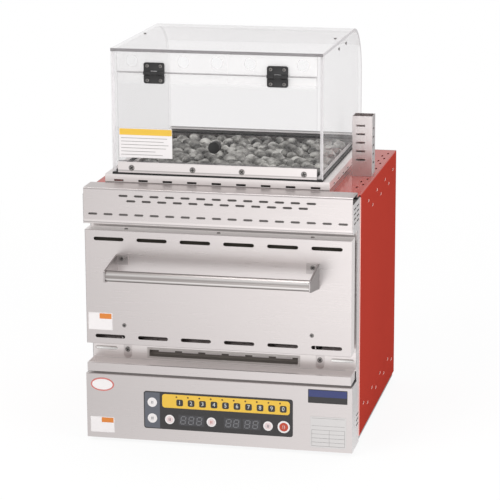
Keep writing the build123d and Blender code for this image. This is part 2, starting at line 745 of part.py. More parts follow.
# ---------------------------------------------------------------- shell, hood and flue
def outer_shell():
    half_sheet = SHELL_SHEET / 2
    x = WIDTH / 2 - half_sheet
    z = SHELL_TOP - half_sheet
    section = [(-x, SHELL_BOTTOM), (-x, z), (x, z), (x, SHELL_BOTTOM)]
    length = REAR_FACE - SIDE_STRIP
    shell = Pos(0, REAR_FACE, 0) * folded(Plane.XZ, section, SHELL_BEND, SHELL_SHEET, length)
    front_edge = CASE_FRONT - FRAME_FRONT_MARGIN
    tongue = block(-FRAME_IN, FRAME_IN, front_edge, SIDE_STRIP, SHELL_TOP - SHELL_SHEET, SHELL_TOP)
    shell += tongue
    shell -= well_block(0, SHELL_TOP - 2 * SHELL_SHEET, SHELL_TOP + SHELL_SHEET)
    shell -= flue_block(-2 * SHELL_SHEET, SHELL_TOP - 2 * SHELL_SHEET, SHELL_TOP + SHELL_SHEET)
    side = [(y, SHELL_TOP - 26.7) for y in depths(143, SHELL_VENT_PITCH)]
    side += [(y, SHELL_TOP - 42.7) for y in depths(186, SHELL_VENT_PITCH)]
    side += [(y, SHELL_BOTTOM + 45.1) for y in depths(107, SHELL_VENT_PITCH)]
    side += [(y, SHELL_BOTTOM + 32.2) for y in depths(150, SHELL_VENT_PITCH)]
    shell -= slots(Plane.YZ, side, SHELL_VENT_LENGTH, SHELL_VENT_HEIGHT, WIDTH)
    upright = Plane(origin=(0, 0, 0), x_dir=(0, 1, 0), z_dir=(0, 0, -1))
    return shell - slots(upright, top_vents(), SHELL_VENT_LENGTH, SIDE_VENT_HEIGHT, 2 * SHELL_TOP)


def depths(first, pitch):
    """Evenly spaced places from the first one to near the shell's rear edge."""
    count = int((REAR_FACE - 2 * SHELL_VENT_LENGTH - first) // pitch) + 1
    return [first + pitch * i for i in range(count)]


def top_vents():
    """Two staggered rows along both side edges of the top sheet, clear of the flue tower."""
    places = []
    for inset, first in ((TOP_VENT_INSET, 122), (TOP_VENT_INSET - 7, 144)):
        run = depths(first, TOP_VENT_PITCH)
        places += [(y, inset - WIDTH / 2) for y in run]
        places += [(y, WIDTH / 2 - inset) for y in run if not near_flue(y)]
    return places


def near_flue(y):
    """True where the flue tower's foot covers the top sheet."""
    return FLUE_FRONT - SHELL_VENT_LENGTH < y < FLUE_FRONT + FLUE_DEPTH + SHELL_VENT_LENGTH


def well_block(grow, low, high):
    """The opening of the top sheet over the stone heater, larger by grow on each side."""
    return block(
        CASE_LEFT + WELL_MARGIN - grow, CASE_RIGHT - WELL_MARGIN + grow,
        CASE_FRONT + WELL_MARGIN - grow, CASE_BACK - WELL_MARGIN + grow, low, high,
    )


def flue_block(grow, low, high):
    """The block of the flue tower, larger by grow on each side."""
    x1 = WIDTH / 2 - FLUE_INSET
    return block(
        x1 - FLUE_WIDTH - grow, x1 + grow,
        FLUE_FRONT - grow, FLUE_FRONT + FLUE_DEPTH + grow, low, high,
    )


def flue_tower():
    tower = flue_block(0, SHELL_TOP, SHELL_TOP + FLUE_HEIGHT)
    tower -= flue_block(-SHELL_SHEET, SHELL_TOP - 1, SHELL_TOP + FLUE_HEIGHT + 1)
    x = WIDTH / 2 - FLUE_INSET - FLUE_WIDTH / 2
    front = [(x - 3, SHELL_TOP + 28 + 14.5 * i) for i in range(5)]
    side = [(FLUE_FRONT + FLUE_DEPTH / 2, SHELL_TOP + 22 + 14.5 * i) for i in range(5)]
    tower -= slots(Plane.XZ, front, 15, 3, DEPTH)
    return tower - [s & block(0, WIDTH, 0, DEPTH, 0, 2 * CASE_TOP) for s in
                    slots(Plane.YZ, side, 14, 3, WIDTH)]


def duct_shape(wall, ends):
    """The exhaust's way: up from the cavity, across over the insulation and up to the tower.
    The inside is the same shape with its walls drawn in and its ends run past."""
    low = CAVITY_CEILING + STEEL
    bend = low + BLANKET
    right = WIDTH / 2 - FLUE_INSET - SHELL_SHEET - wall
    left = WIDTH / 2 - FLUE_INSET - FLUE_WIDTH + SHELL_SHEET + wall
    y0 = FLUE_FRONT + SHELL_SHEET + wall
    y1 = FLUE_FRONT + FLUE_DEPTH - SHELL_SHEET - wall
    shape = vent_block(THIN_SHEET - wall, low - ends, bend + STEEL)
    shape += block(vent_left() - THIN_SHEET + wall, right, y0, y1, bend + wall, bend + DUCT_HEIGHT - wall)
    return shape + block(left, right, y0, y1, bend + wall, SHELL_TOP - SHELL_SHEET + ends)


def exhaust_duct():
    return duct_shape(0, 0) - duct_shape(THIN_SHEET, 1)


def rear_panel():
    panel = block(-WIDTH / 2, WIDTH / 2, REAR_FACE, DEPTH, SHELL_BOTTOM, SHELL_TOP)
    pitch = REAR_VENT_PITCH
    vents = row(6, pitch, SHELL_TOP - 40) + row(6, pitch, SHELL_TOP - 56)
    vents += row(4, pitch, PANEL_TOP - 20, pitch)
    panel -= slots(Plane.XZ, vents, REAR_VENT_LENGTH, SHELL_VENT_HEIGHT, 2 * DEPTH)
    return panel - gland_neck(0)


def cable_gland():
    """Threaded gland with a hexagonal nut inside and a dome nut outside."""
    plane = Plane(origin=(GLAND_X, DEPTH, GLAND_Z), z_dir=(0, 1, 0))
    dome = extrude(plane * RegularPolygon(GLAND_RADIUS, 12), GLAND_PROUD)
    dome = chamfer(dome.faces().sort_by(Axis.Y)[-1].edges(), GLAND_PROUD / 4)
    neck = gland_neck(0)
    inside = Plane(origin=(GLAND_X, REAR_FACE, GLAND_Z), z_dir=(0, -1, 0))
    nut = extrude(inside * RegularPolygon(GLAND_RADIUS, 6), GLAND_NUT)
    bore = rod((GLAND_X, 0, GLAND_Z), (GLAND_X, 2 * DEPTH, GLAND_Z), GLAND_BORE)
    return neck + dome + nut - bore


def gland_neck(grow):
    """The threaded neck through the rear panel, larger by grow all round."""
    return rod((GLAND_X, REAR_FACE, GLAND_Z), (GLAND_X, DEPTH, GLAND_Z), GLAND_NECK + grow)


def hood():
    """Folded perforated hood over the door, closed to the top sheet behind."""
    half = STEEL / 2
    back = CASE_FRONT - FRAME_FRONT_MARGIN - 1 - half
    section = [
        (10, HOOD_BOTTOM + half), (half, HOOD_BOTTOM + half), (half, HOOD_TOP - half),
        (back, HOOD_TOP - half), (back, BAR_TOP),
    ]
    width = 2 * (FRAME_IN - SEAT)
    body = Pos(-width / 2, 0, 0) * folded(Plane.YZ, section, 2.2, STEEL, width)
    rows = row(13, VENT_PITCH, HOOD_TOP - HOOD_ROW_UPPER)
    rows += row(12, VENT_PITCH, HOOD_TOP - HOOD_ROW_MIDDLE)
    rows += row(17, VENT_PITCH, HOOD_TOP - HOOD_ROW_LOWER)
    return body - slots(Plane.XZ, rows, VENT_LENGTH, VENT_HEIGHT, 2 * STEEL, steps=2)


def front_crossbar():
    """Folded bar behind the hood that ties the side plates and carries the hood's rear flange."""
    half = STEEL / 2
    top = BAR_TOP - half
    front = RECESS + STEEL + half
    end = CASE_FRONT + WELL_MARGIN - WELL_RIM - FIT
    section = [(front, top - CROSSBAR_DROP), (front, top), (end, top)]
    return Pos(-INNER_X, 0, 0) * folded(Plane.YZ, section, 1.5, STEEL, 2 * INNER_X)


# ---------------------------------------------------------------- door
def door_outer_panel():
    half = DOOR_WIDTH / 2
    skin = block(-half, half, 0, DOOR_THICKNESS, DOOR_BOTTOM, DOOR_TOP)
    skin = chamfer(skin.faces().sort_by(Axis.Y)[0].edges(), STEEL / 2)
    skin -= block(
        -half + STEEL, half - STEEL, STEEL, DOOR_THICKNESS + 1,
        DOOR_BOTTOM + STEEL, DOOR_TOP - STEEL,
    )
    levels = (DOOR_TOP - 14.5, DOOR_BOTTOM + 13.1)
    pitch = (DOOR_WIDTH - 2 * DOOR_SLOT_MARGIN) / 5
    places = [place for level in levels for place in row(6, pitch, level)]
    skin -= slots(Plane.XZ, places, DOOR_SLOT_LENGTH, DOOR_SLOT_HEIGHT, 2 * STEEL, steps=4)
    for side in (-1, 1):
        skin -= arm_passage(side)
    return skin


def arm_passage(side):
    """Room at the door's lower rear edge for a hinge arm and its ears."""
    half = ARM_THICKNESS / 2 + FIT + EAR_THICKNESS + 1.2 + 1
    x = side * HINGE_X
    top = HINGE_Z + KNUCKLE_RADIUS + 5
    return block(x - half, x + half, HINGE_BACK - 11, DOOR_THICKNESS + 2, DOOR_BOTTOM - 1, top)


def pressing(inset):
    """The raised field of the door's inner panel, drawn in by inset."""
    half = DOOR_WIDTH / 2 - STEEL - PRESSING_MARGIN - inset
    low = DOOR_BOTTOM + STEEL + PRESSING_MARGIN + inset
    high = DOOR_TOP - STEEL - PRESSING_MARGIN - inset
    field = block(-half, half, DOOR_THICKNESS - STEEL, DOOR_THICKNESS + PRESSING_HEIGHT - inset, low, high)
    field = chamfer(field.edges().filter_by(Axis.Y), 8)
    return chamfer(field.faces().sort_by(Axis.Y)[-1].edges(), PRESSING_HEIGHT - STEEL)


def door_inner_panel():
    """Sheet that closes the door behind, with a shallow raised field inside the seal."""
    half = DOOR_WIDTH / 2 - STEEL
    back = DOOR_THICKNESS
    panel = block(-half, half, back - STEEL, back, DOOR_BOTTOM + STEEL, DOOR_TOP - STEEL)
    panel += pressing(0)
    panel -= pressing(STEEL)
    for side in (-1, 1):
        panel -= arm_passage(side)
    return panel


def door_insulation():
    half = DOOR_WIDTH / 2 - STEEL - 12
    back = DOOR_THICKNESS - STEEL
    low = DOOR_BOTTOM + ARM_SCREW_RISE + ARM_FOOT_HEIGHT / 2 + SEAT
    return block(-half, half, DOOR_AIR_GAP, back, low, DOOR_TOP - STEEL - 12)


def gasket_frame(grow):
    """The rectangle that the door seal runs round, larger by grow on each side."""
    half = CAVITY_WIDTH / 2 + 2 + grow
    return block(
        -half, half, DOOR_THICKNESS, RECESS - SEAT,
        CAVITY_FLOOR - 2 - grow, CAVITY_CEILING + 2 + grow,
    )


def door_gasket():
    ring = gasket_frame(GASKET_WIDTH)
    ring = chamfer(ring.edges().filter_by(Axis.Y), GASKET_WIDTH / 2)
    return ring - gasket_frame(0)


def door_hinge_arms():
    """Arms from inside the door's face, through its lower rear edge, to the pins."""
    y0 = STEEL
    top = DOOR_BOTTOM + ARM_SCREW_RISE + ARM_FOOT_HEIGHT / 2
    foot_low = top - ARM_FOOT_HEIGHT
    knuckle = RegularPolygon(KNUCKLE_RADIUS, 12)
    arms = []
    for side in (-1, 1):
        x = side * HINGE_X
        outline = Polyline(
            (y0, foot_low), (y0, top), (y0 + 9, top), (HINGE_BACK - 4, HINGE_Z + KNUCKLE_RADIUS),
            (HINGE_BACK, HINGE_Z + KNUCKLE_RADIUS), (HINGE_BACK, HINGE_Z - KNUCKLE_RADIUS + 0.8),
            (HINGE_BACK - 10, HINGE_Z), (HINGE_BACK - 14, HINGE_Z + 2), close=True,
        )
        half = ARM_THICKNESS / 2
        arm = Pos(x - half, 0, 0) * extrude(Plane.YZ * make_face(outline), ARM_THICKNESS)
        arm += bar((x - half, HINGE_BACK, HINGE_Z), (x + half, HINGE_BACK, HINGE_Z), knuckle)
        inner = sorted((x + side * half, x - side * ARM_FOOT))
        arm += block(*inner, y0, y0 + 2, foot_low, top)
        arm -= rod((x - 9, HINGE_BACK, HINGE_Z), (x + 9, HINGE_BACK, HINGE_Z), PIN_RADIUS + RUNNING)
        arms.append(arm)
    return Compound(children=arms)


def door_screws():
    """Screws of the hinge arms and the handle in the door's face, and three in its top edge."""
    x = HINGE_X - ARM_FOOT / 2
    z = DOOR_BOTTOM + ARM_SCREW_RISE
    heads = [screw_head(side * x, 0, z, ARM_SCREW) for side in (-1, 1)]
    x = HANDLE_WIDTH / 2 - TAB_WIDTH / 2
    z = DOOR_BOTTOM + CHEEK_TOP - TAB_HEIGHT / 2 + 2
    heads += [screw_head(side * x, -CHEEK, z, HANDLE_SCREW) for side in (-1, 1)]
    heads += [
        screw_head(place, y, DOOR_TOP, EDGE_SCREW, (0, 0, 1))
        for place, y in row(3, EDGE_SCREW_PITCH, DOOR_THICKNESS / 2)
    ]
    return Compound(children=heads)


def handle_bar():
    half = HANDLE_WIDTH / 2 - CHEEK
    z = DOOR_BOTTOM + BAR_RISE
    return rod((-half, -BAR_REACH, z), (half, -BAR_REACH, z), BAR_DIAMETER / 2)


def handle_brackets():
    """Bent brackets: a cheek that sweeps out to the bar's end and a tab screwed to the door."""
    z = DOOR_BOTTOM + BAR_RISE
    radius = BAR_DIAMETER / 2
    top = DOOR_BOTTOM + CHEEK_TOP
    low = DOOR_BOTTOM + CHEEK_BOTTOM
    brackets = []
    for side in (-1, 1):
        outline = Polyline(
            (0, low), (0, top), (-5, top), (-BAR_REACH - radius, z + radius),
            (-BAR_REACH - radius, z - radius), close=True,
        )
        face = make_face(outline)
        face = fillet(face.vertices().sort_by(Axis.X)[0:2], 3)
        x = side * HANDLE_WIDTH / 2
        cheek = Pos(x - side * CHEEK, 0, 0) * extrude(Plane.YZ * face, side * CHEEK)
        tab = block(*sorted((x, x - side * TAB_WIDTH)), -CHEEK, 0, top - TAB_HEIGHT, top)
        brackets.append(cheek + tab)
    return Compound(children=brackets)


# ---------------------------------------------------------------- stones and their heater
def stone_heater_z():
    return pan_bottom() - BUSH / 2 - SEAT


def stone_heater_depths():
    middle = (CASE_FRONT + CASE_BACK) / 2
    return [middle - HEATER_PITCH / 2, middle + HEATER_PITCH / 2]


def heater_well():
    """Sheet box that hangs under the top sheet and holds the heaters of the stones."""
    high = SHELL_TOP - SHELL_SHEET
    well = well_block(WELL_RIM, high - WELL_DEPTH, high)
    well -= well_block(WELL_RIM - THIN_SHEET, high - WELL_DEPTH + THIN_SHEET, high + 1)
    return well - [bush_passage(y, stone_heater_z()) for y in stone_heater_depths()]


def stone_heater():
    reach = CASE_WIDTH / 2 - WELL_MARGIN + 2 * BUSH_PROUD
    rods = [
        straight_heater(reach, y, stone_heater_z(), CASE_CENTRE) for y in stone_heater_depths()
    ]
    return Compound(children=rods)


def pan_bottom():
    return FRAME_TOP - PAN_DEPTH


def pan_block(grow, low, high):
    """The inside of the stone pan, larger by grow on each side."""
    inset = 2 * PAN_FLANGE_WIDTH + 2
    return block(
        CASE_LEFT + inset - grow, CASE_RIGHT - inset + grow,
        CASE_FRONT + inset - grow, CASE_BACK - inset + grow, low, high,
    )


def stone_pan():
    pan = pan_block(THIN_SHEET, pan_bottom(), FRAME_TOP)
    pan += pan_block(PAN_FLANGE_WIDTH, FRAME_TOP, FRAME_TOP + THIN_SHEET)
    pan -= pan_block(0, pan_bottom() + THIN_SHEET, FRAME_TOP + 2)
    return pan


def stone_bed():
    """The bed of stones: a level layer with the crowns of the top stones standing out of it."""
    level = FRAME_TOP + STONE_LEVEL
    bed = pan_block(-SEAT, pan_bottom() + THIN_SHEET, level)
    inset = 4 * PAN_FLANGE_WIDTH
    across = int((CASE_WIDTH - inset) // STONE_PITCH)
    along = int((CASE_BACK - CASE_FRONT - inset) // STONE_PITCH)
    crown = extrude(RegularPolygon(STONE_PITCH * 0.42, 5), STONE_CROWN, taper=38)
    middle = (CASE_FRONT + CASE_BACK) / 2
    for j in range(along):
        for i in range(across):
            if (i + 2 * j) % 4 == 0:
                continue
            drift = 0.15 * STONE_PITCH * math.sin(2.1 * j + i)
            x = CASE_CENTRE + (i - (across - 1) / 2) * STONE_PITCH + drift
            y = middle + (j - (along - 1) / 2) * STONE_PITCH
            bed += Pos(x, y, level) * Rot(0, 0, 37 * i + 23 * j) * crown
    return bed


# ---------------------------------------------------------------- warming case
def case_base_frame():
    """Folded stainless frame on the top sheet, with an inward flange under the case."""
    x0 = CASE_LEFT - FRAME_MARGIN
    x1 = CASE_RIGHT + FRAME_MARGIN
    y0 = CASE_FRONT - FRAME_FRONT_MARGIN
    y1 = CASE_BACK + FRAME_MARGIN
    frame = block(x0, x1, y0, y1, SHELL_TOP, FRAME_TOP)
    frame -= block(x0 + STEEL, x1 - STEEL, y0 + STEEL, y1 - STEEL, SHELL_TOP - 1, FRAME_TOP - STEEL)
    frame -= pan_block(2 * THIN_SHEET, SHELL_TOP, FRAME_TOP + 1)
    level = FRAME_TOP - FRAME_VENT_DROP
    front = row(9, (x1 - x0 - 2 * FRAME_VENT_MARGIN) / 8, level, (x0 + x1) / 2)
    ends = row(8, (y1 - y0 - 2 * FRAME_VENT_MARGIN) / 8, level, (y0 + y1) / 2)
    frame -= slots(Plane.XZ, front, VENT_LENGTH, VENT_HEIGHT, CASE_FRONT)
    return frame - slots(Plane.YZ, ends, VENT_LENGTH, VENT_HEIGHT, WIDTH)


def case_seal():
    ring = block(CASE_LEFT, CASE_RIGHT, CASE_FRONT, CASE_BACK, FRAME_TOP, CASE_BOTTOM)
    inset = ACRYLIC + 1
    return ring - block(
        CASE_LEFT + inset, CASE_RIGHT - inset, CASE_FRONT + inset, CASE_BACK - inset,
        FRAME_TOP - 1, CASE_BOTTOM + 1,
    )


def case_profile(inset):
    """The case's side outline: flat top, one large bend and an upright back."""
    top = CASE_TOP - inset
    back = CASE_BACK - inset
    bend = CASE_BEND - inset
    front = CASE_FRONT
    line = Line((front, CASE_BOTTOM), (front, top)) + Line((front, top), (back - bend, top))
    line += RadiusArc((back - bend, top), (back, top - bend), bend)
    line += Line((back, top - bend), (back, CASE_BOTTOM)) + Line((back, CASE_BOTTOM), (front, CASE_BOTTOM))
    return make_face(line)


def case_top_back():
    sheet = case_profile(0) - case_profile(ACRYLIC)
    return Pos(CASE_LEFT, 0, 0) * extrude(Plane.YZ * sheet, CASE_WIDTH)


def case_side_panels():
    shape = case_profile(ACRYLIC) & Pos(CASE_FRONT + ACRYLIC + DEPTH / 2, CASE_TOP / 2) * Rectangle(
        DEPTH, 2 * CASE_TOP
    )
    panel = extrude(Plane.YZ * shape, ACRYLIC)
    return Compound(
        children=[Pos(CASE_LEFT, 0, 0) * panel, Pos(CASE_RIGHT - ACRYLIC, 0, 0) * panel]
    )


def case_front_stiles():
    back = CASE_FRONT + ACRYLIC
    top = CASE_TOP - ACRYLIC
    left = block(CASE_LEFT, OPENING_LEFT, CASE_FRONT, back, CASE_BOTTOM, top)
    right = block(OPENING_RIGHT, CASE_RIGHT, CASE_FRONT, back, CASE_BOTTOM, top)
    return Compound(children=[left, right])


def case_front_strip():
    back = CASE_FRONT + ACRYLIC
    strip = block(OPENING_LEFT, OPENING_RIGHT, CASE_FRONT, back, STRIP_BOTTOM, CASE_TOP - ACRYLIC)
    z = STRIP_BOTTOM + 18
    holes = [CASE_CENTRE + share * CASE_WIDTH for share in STEAM_HOLE_SHARES]
    hole = RegularPolygon(STRIP_HOLE_RADIUS, 16)
    return strip - [bar((x, CASE_FRONT, z), (x, back, z), hole) for x in holes]


def front_sill():
    """Stainless angle along the foot of the front opening."""
    upright = block(OPENING_LEFT, OPENING_RIGHT, CASE_FRONT, CASE_FRONT + STEEL, CASE_BOTTOM, SILL_TOP)
    foot = block(
        OPENING_LEFT, OPENING_RIGHT, CASE_FRONT, CASE_FRONT + 3 * ACRYLIC,
        CASE_BOTTOM, CASE_BOTTOM + STEEL,
    )
    return upright + foot


def flap_panel():
    return block(
        OPENING_LEFT + FLAP_GAP, OPENING_RIGHT - FLAP_GAP, CASE_FRONT, CASE_FRONT + ACRYLIC,
        FLAP_BOTTOM, FLAP_TOP,
    )


def flap_axis(x):
    return (x, FLAP_AXIS_Y, FLAP_AXIS_Z)


def leaf(x, direction):
    """One half of a butterfly hinge. The upper, fixed half has the two outer knuckles and holds
    the pin; the lower half has the middle knuckle and turns on it."""
    low = FLAP_AXIS_Z + direction * LEAF_GAP
    high = low + direction * LEAF_HEIGHT
    plate = block(
        x - LEAF_WIDTH / 2, x + LEAF_WIDTH / 2, CASE_FRONT - LEAF_SHEET, CASE_FRONT,
        *sorted((low, high)),
    )
    corners = plate.edges().filter_by(Axis.Y).sort_by(Axis.Z)
    plate = chamfer(corners[-2:] if direction > 0 else corners[:2], LEAF_CORNER)
    third = LEAF_WIDTH / 3
    barrel = RegularPolygon(BARREL_RADIUS, 12)
    spans = [(x - third / 2 + FIT, x + third / 2 - FIT)]
    if direction > 0:
        spans = [(x - 1.5 * third, x - third / 2), (x + third / 2, x + 1.5 * third)]
    for start, end in spans:
        plate += bar(flap_axis(start), flap_axis(end), barrel)
        plate += block(
            start, end, FLAP_AXIS_Y, CASE_FRONT - FIT, *sorted((FLAP_AXIS_Z, low + direction * STEEL))
        )
        bore = flatted(FLAP_PIN_RADIUS)
        if direction < 0:
            bore = Circle(FLAP_PIN_RADIUS + RUNNING)
        plate -= bar(flap_axis(start), flap_axis(end), bore)
    return plate


def flap_hinge_x():
    return [CASE_CENTRE + side * FLAP_HINGE_X for side in (-1, 1)]


def flap_leaves(direction):
    return Compound(children=[leaf(x, direction) for x in flap_hinge_x()])


def flap_hinge_pins():
    """Pins that are flatted in the fixed knuckles and round in the moving one."""
    inner = LEAF_WIDTH / 6
    outer = LEAF_WIDTH / 2
    keyed = flatted(FLAP_PIN_RADIUS)
    pins = []
    for x in flap_hinge_x():
        pin = rod(flap_axis(x - inner), flap_axis(x + inner), FLAP_PIN_RADIUS)
        pin += bar(flap_axis(x - outer), flap_axis(x - inner), keyed)
        pins.append(pin + bar(flap_axis(x + inner), flap_axis(x + outer), keyed))
    return Compound(children=pins)


def leaf_screws(direction):
    z = FLAP_AXIS_Z + direction * (LEAF_GAP + LEAF_HEIGHT * 0.6)
    y = CASE_FRONT - LEAF_SHEET
    return [screw_head(x + dx, y, z, 2.8) for x in flap_hinge_x() for dx in (-11, 11)]


def cabinet_screws():
    """Heads on the door's hinge brackets, the case's sill and the fixed halves of its hinges."""
    screw_z = HINGE_Z - BRACKET_SCREW_DROP
    heads = [
        screw_head(side * HINGE_X, RECESS - BRACKET_SHEET, screw_z, BRACKET_SCREW)
        for side in (-1, 1)
    ]
    sill_z = SILL_TOP - SILL_HEIGHT * 0.55
    places = [CASE_CENTRE + share * CASE_WIDTH for share in SILL_SCREW_SHARES]
    heads += [screw_head(x, CASE_FRONT, sill_z, SILL_SCREW) for x in places]
    return Compound(children=heads + leaf_screws(1))


def flap_screws():
    """Heads on the moving halves of the flap's hinges, and the washer and nut behind the knob."""
    x, z = knob_place()
    plane = Plane(origin=(x, CASE_FRONT + ACRYLIC, z), z_dir=(0, 1, 0))
    washer = extrude(plane * RegularPolygon(WASHER_RADIUS, 12), WASHER_HEIGHT)
    washer += extrude(plane.offset(WASHER_HEIGHT) * RegularPolygon(NUT_RADIUS, 6), NUT_HEIGHT)
    return Compound(children=leaf_screws(-1) + [washer])


def knob_place():
    return CASE_CENTRE + 1.4, FLAP_BOTTOM + KNOB_RISE


def flap_knob():
    """Turned black knob on the flap."""
    x, z = knob_place()
    plane = Plane(origin=(x, CASE_FRONT, z), z_dir=(0, -1, 0))
    neck = extrude(plane * RegularPolygon(KNOB_NECK, 16), KNOB_LENGTH * 0.3)
    head = extrude(plane.offset(KNOB_LENGTH * 0.3) * RegularPolygon(KNOB_RADIUS, 16), KNOB_LENGTH * 0.7)
    head = chamfer(head.faces().sort_by(Axis.Y)[0].edges(), KNOB_EDGE)
    return neck + head


# ---------------------------------------------------------------- write every sub-part
save(rubber_feet(), "rubber_feet")
save(base_pan(), "base_pan")
save(side_frame(-1), "side_frame_left")
save(side_frame(1), "side_frame_right")
save(control_panel(), "control_panel")
save(key_membrane(), "key_membrane")
save(control_board(), "control_board")
save(power_contactors(), "power_contactors")
save(terminal_block(), "terminal_block")
save(divider_shelf(), "divider_shelf")
save(front_plate(), "front_plate")
save(intake_channel(), "intake_channel")
save(hinge_brackets(), "hinge_brackets")
save(hinge_pins(), "hinge_pins")
save(oven_liner(), "oven_liner")
save(heaters(upper_heater_z()), "upper_heaters")
save(heaters(lower_heater_z()), "lower_heaters")
save(thermostat_probe(), "thermostat_probe")
save(insulation_blanket(), "insulation_blanket")
save(rack_rails(), "rack_rails")
save(oven_rack(), "oven_rack")
save(crumb_pan(), "crumb_pan")
save(tray_runners(), "tray_runners")
save(crumb_tray(), "crumb_tray")
save(outer_shell(), "outer_shell")
save(rear_panel(), "rear_panel")
save(cable_gland(), "cable_gland")
save(flue_tower(), "flue_tower")
save(exhaust_duct(), "exhaust_duct")
save(hood(), "hood")
save(front_crossbar(), "front_crossbar")
save(door_outer_panel(), "door_outer_panel")
save(door_inner_panel(), "door_inner_panel")
save(door_insulation(), "door_insulation")
save(door_gasket(), "door_gasket")
save(door_hinge_arms(), "door_hinge_arms")
save(door_screws(), "door_screws")
save(handle_bar(), "handle_bar")
save(handle_brackets(), "handle_brackets")
save(heater_well(), "heater_well")
save(stone_heater(), "stone_heater")
save(stone_pan(), "stone_pan")
save(stone_bed(), "stone_bed")
save(case_base_frame(), "case_base_frame")
save(case_seal(), "case_seal")
save(case_top_back(), "case_top_back")
save(case_side_panels(), "case_side_panels")
save(case_front_stiles(), "case_front_stiles")
save(case_front_strip(), "case_front_strip")
save(front_sill(), "front_sill")
save(flap_panel(), "flap_panel")
save(flap_leaves(1), "flap_hinge_fixed")
save(flap_leaves(-1), "flap_hinge_moving")
save(flap_hinge_pins(), "flap_hinge_pins")
save(cabinet_screws(), "cabinet_screws")
save(flap_screws(), "flap_screws")
save(flap_knob(), "flap_knob")
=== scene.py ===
# %% [markdown]
# # A countertop oven for baked potatoes
# The oven is a red steel box with a bright front, a door with a bar handle and a clear warming
# case on top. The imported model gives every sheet, hinge and heater its exact place and size.
# This script dresses it: it sets a camera and a white studio, gives each surface a finish made
# of shader nodes, and models the small pieces that a plain solid can't show, such as the keys,
# the screws and the stones. Lengths are in metres up to the modelling cells, which use
# millimetres.

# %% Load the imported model
import math
import random

import bpy
from mathutils import Matrix, Vector


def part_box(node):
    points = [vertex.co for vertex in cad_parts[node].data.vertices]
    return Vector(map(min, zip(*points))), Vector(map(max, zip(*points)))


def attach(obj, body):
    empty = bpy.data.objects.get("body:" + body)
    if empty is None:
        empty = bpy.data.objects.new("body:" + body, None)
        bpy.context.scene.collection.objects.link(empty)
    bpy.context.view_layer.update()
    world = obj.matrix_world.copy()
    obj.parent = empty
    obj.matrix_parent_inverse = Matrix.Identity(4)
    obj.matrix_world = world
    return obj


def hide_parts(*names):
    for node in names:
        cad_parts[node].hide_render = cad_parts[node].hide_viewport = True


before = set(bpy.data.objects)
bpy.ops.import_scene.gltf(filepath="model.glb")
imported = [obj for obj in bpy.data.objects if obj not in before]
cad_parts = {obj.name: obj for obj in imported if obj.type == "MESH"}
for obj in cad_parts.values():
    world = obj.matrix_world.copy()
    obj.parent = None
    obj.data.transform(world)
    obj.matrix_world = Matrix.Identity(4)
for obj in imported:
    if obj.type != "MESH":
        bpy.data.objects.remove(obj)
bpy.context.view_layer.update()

bpy.ops.object.select_all(action="DESELECT")

# %% [markdown]
# ## The camera
# The camera stands a few metres away, to the right of the oven and a little above it. From
# there a long lens keeps upright edges nearly parallel. Three angles say where it looks: a
# turn about the upright, a tilt downwards and a slight roll.

# %% Place the camera
CAMERA_PLACE = (0.7912, -3.5765, 1.1776)
LENS_MM = 159.2
TURN = 0.2141
TILT = 0.2372
ROLL = -0.004

camera_data = bpy.data.cameras.new("camera")
camera_data.lens = LENS_MM
camera_data.sensor_width = 36
camera_data.clip_start = 0.1
camera_data.clip_end = 60
camera = bpy.data.objects.new("camera", camera_data)
bpy.context.scene.collection.objects.link(camera)
camera.location = CAMERA_PLACE
camera.rotation_mode = "QUATERNION"
aim = Matrix.Rotation(TURN, 3, "Z") @ Matrix.Rotation(math.pi / 2 - TILT, 3, "X")
camera.rotation_quaternion = (aim @ Matrix.Rotation(ROLL, 3, "Z")).to_quaternion()
bpy.context.scene.camera = camera
bpy.context.scene.view_settings.view_transform = "Standard"
print("camera at", CAMERA_PLACE, "with a lens of", LENS_MM, "mm")

# %% [markdown]
# ## Writing shader sums as Python
# A finish is a small graph of nodes. Building it by hand takes many lines, so one class wraps
# an output socket and lets sums be written with + - and *, and another adds nodes to one
# material. Colours are mixed with a Mix node, because a Math node would turn them grey.


# %% Helper for sums
class Signal:
    """One output of a shader node. A sum written with it adds a Math node."""

    def __init__(self, graph, socket):
        self.graph = graph
        self.socket = socket

    def sum(self, operation, first, second):
        return self.graph.node("ShaderNodeMath", {"operation": operation}, {0: first, 1: second})

    def __add__(self, other):
        return self.sum("ADD", self, other)

    def __mul__(self, other):
        return self.sum("MULTIPLY", self, other)

    def __sub__(self, other):
        return self.sum("SUBTRACT", self, other)

    def __rsub__(self, other):
        return self.sum("SUBTRACT", other, self)

    def above(self, edge, soft=0.0005):
        """0 up to the edge less soft, 1 from the edge plus soft, and a ramp between."""
        return self.graph.node(
            "ShaderNodeMapRange", {"clamp": True},
            {"Value": self, "From Min": edge - soft, "From Max": edge + soft},
        )

    def also(self, output):
        """Another output of the same node."""
        return Signal(self.graph, self.socket.node.outputs[output])

    __radd__ = __add__
    __rmul__ = __mul__


# %% [markdown]
# ## Adding nodes
# The second class holds the node tree of one material or of the world. Its method `node` adds
# any node with its settings and the values or links of its sockets, which is all that a graph
# needs. Places are read as Object coordinates, so a pattern stays where it is on a piece when
# the piece moves.


# %% Helper for node trees
def fill_ramp(ramp, stops):
    """Sets a colour ramp's stops as (place, colour) pairs."""
    while len(ramp.elements) > 1:
        ramp.elements.remove(ramp.elements[-1])
    ramp.elements[0].position, ramp.elements[0].color = stops[0]
    for position, tint in stops[1:]:
        ramp.elements.new(position).color = tint


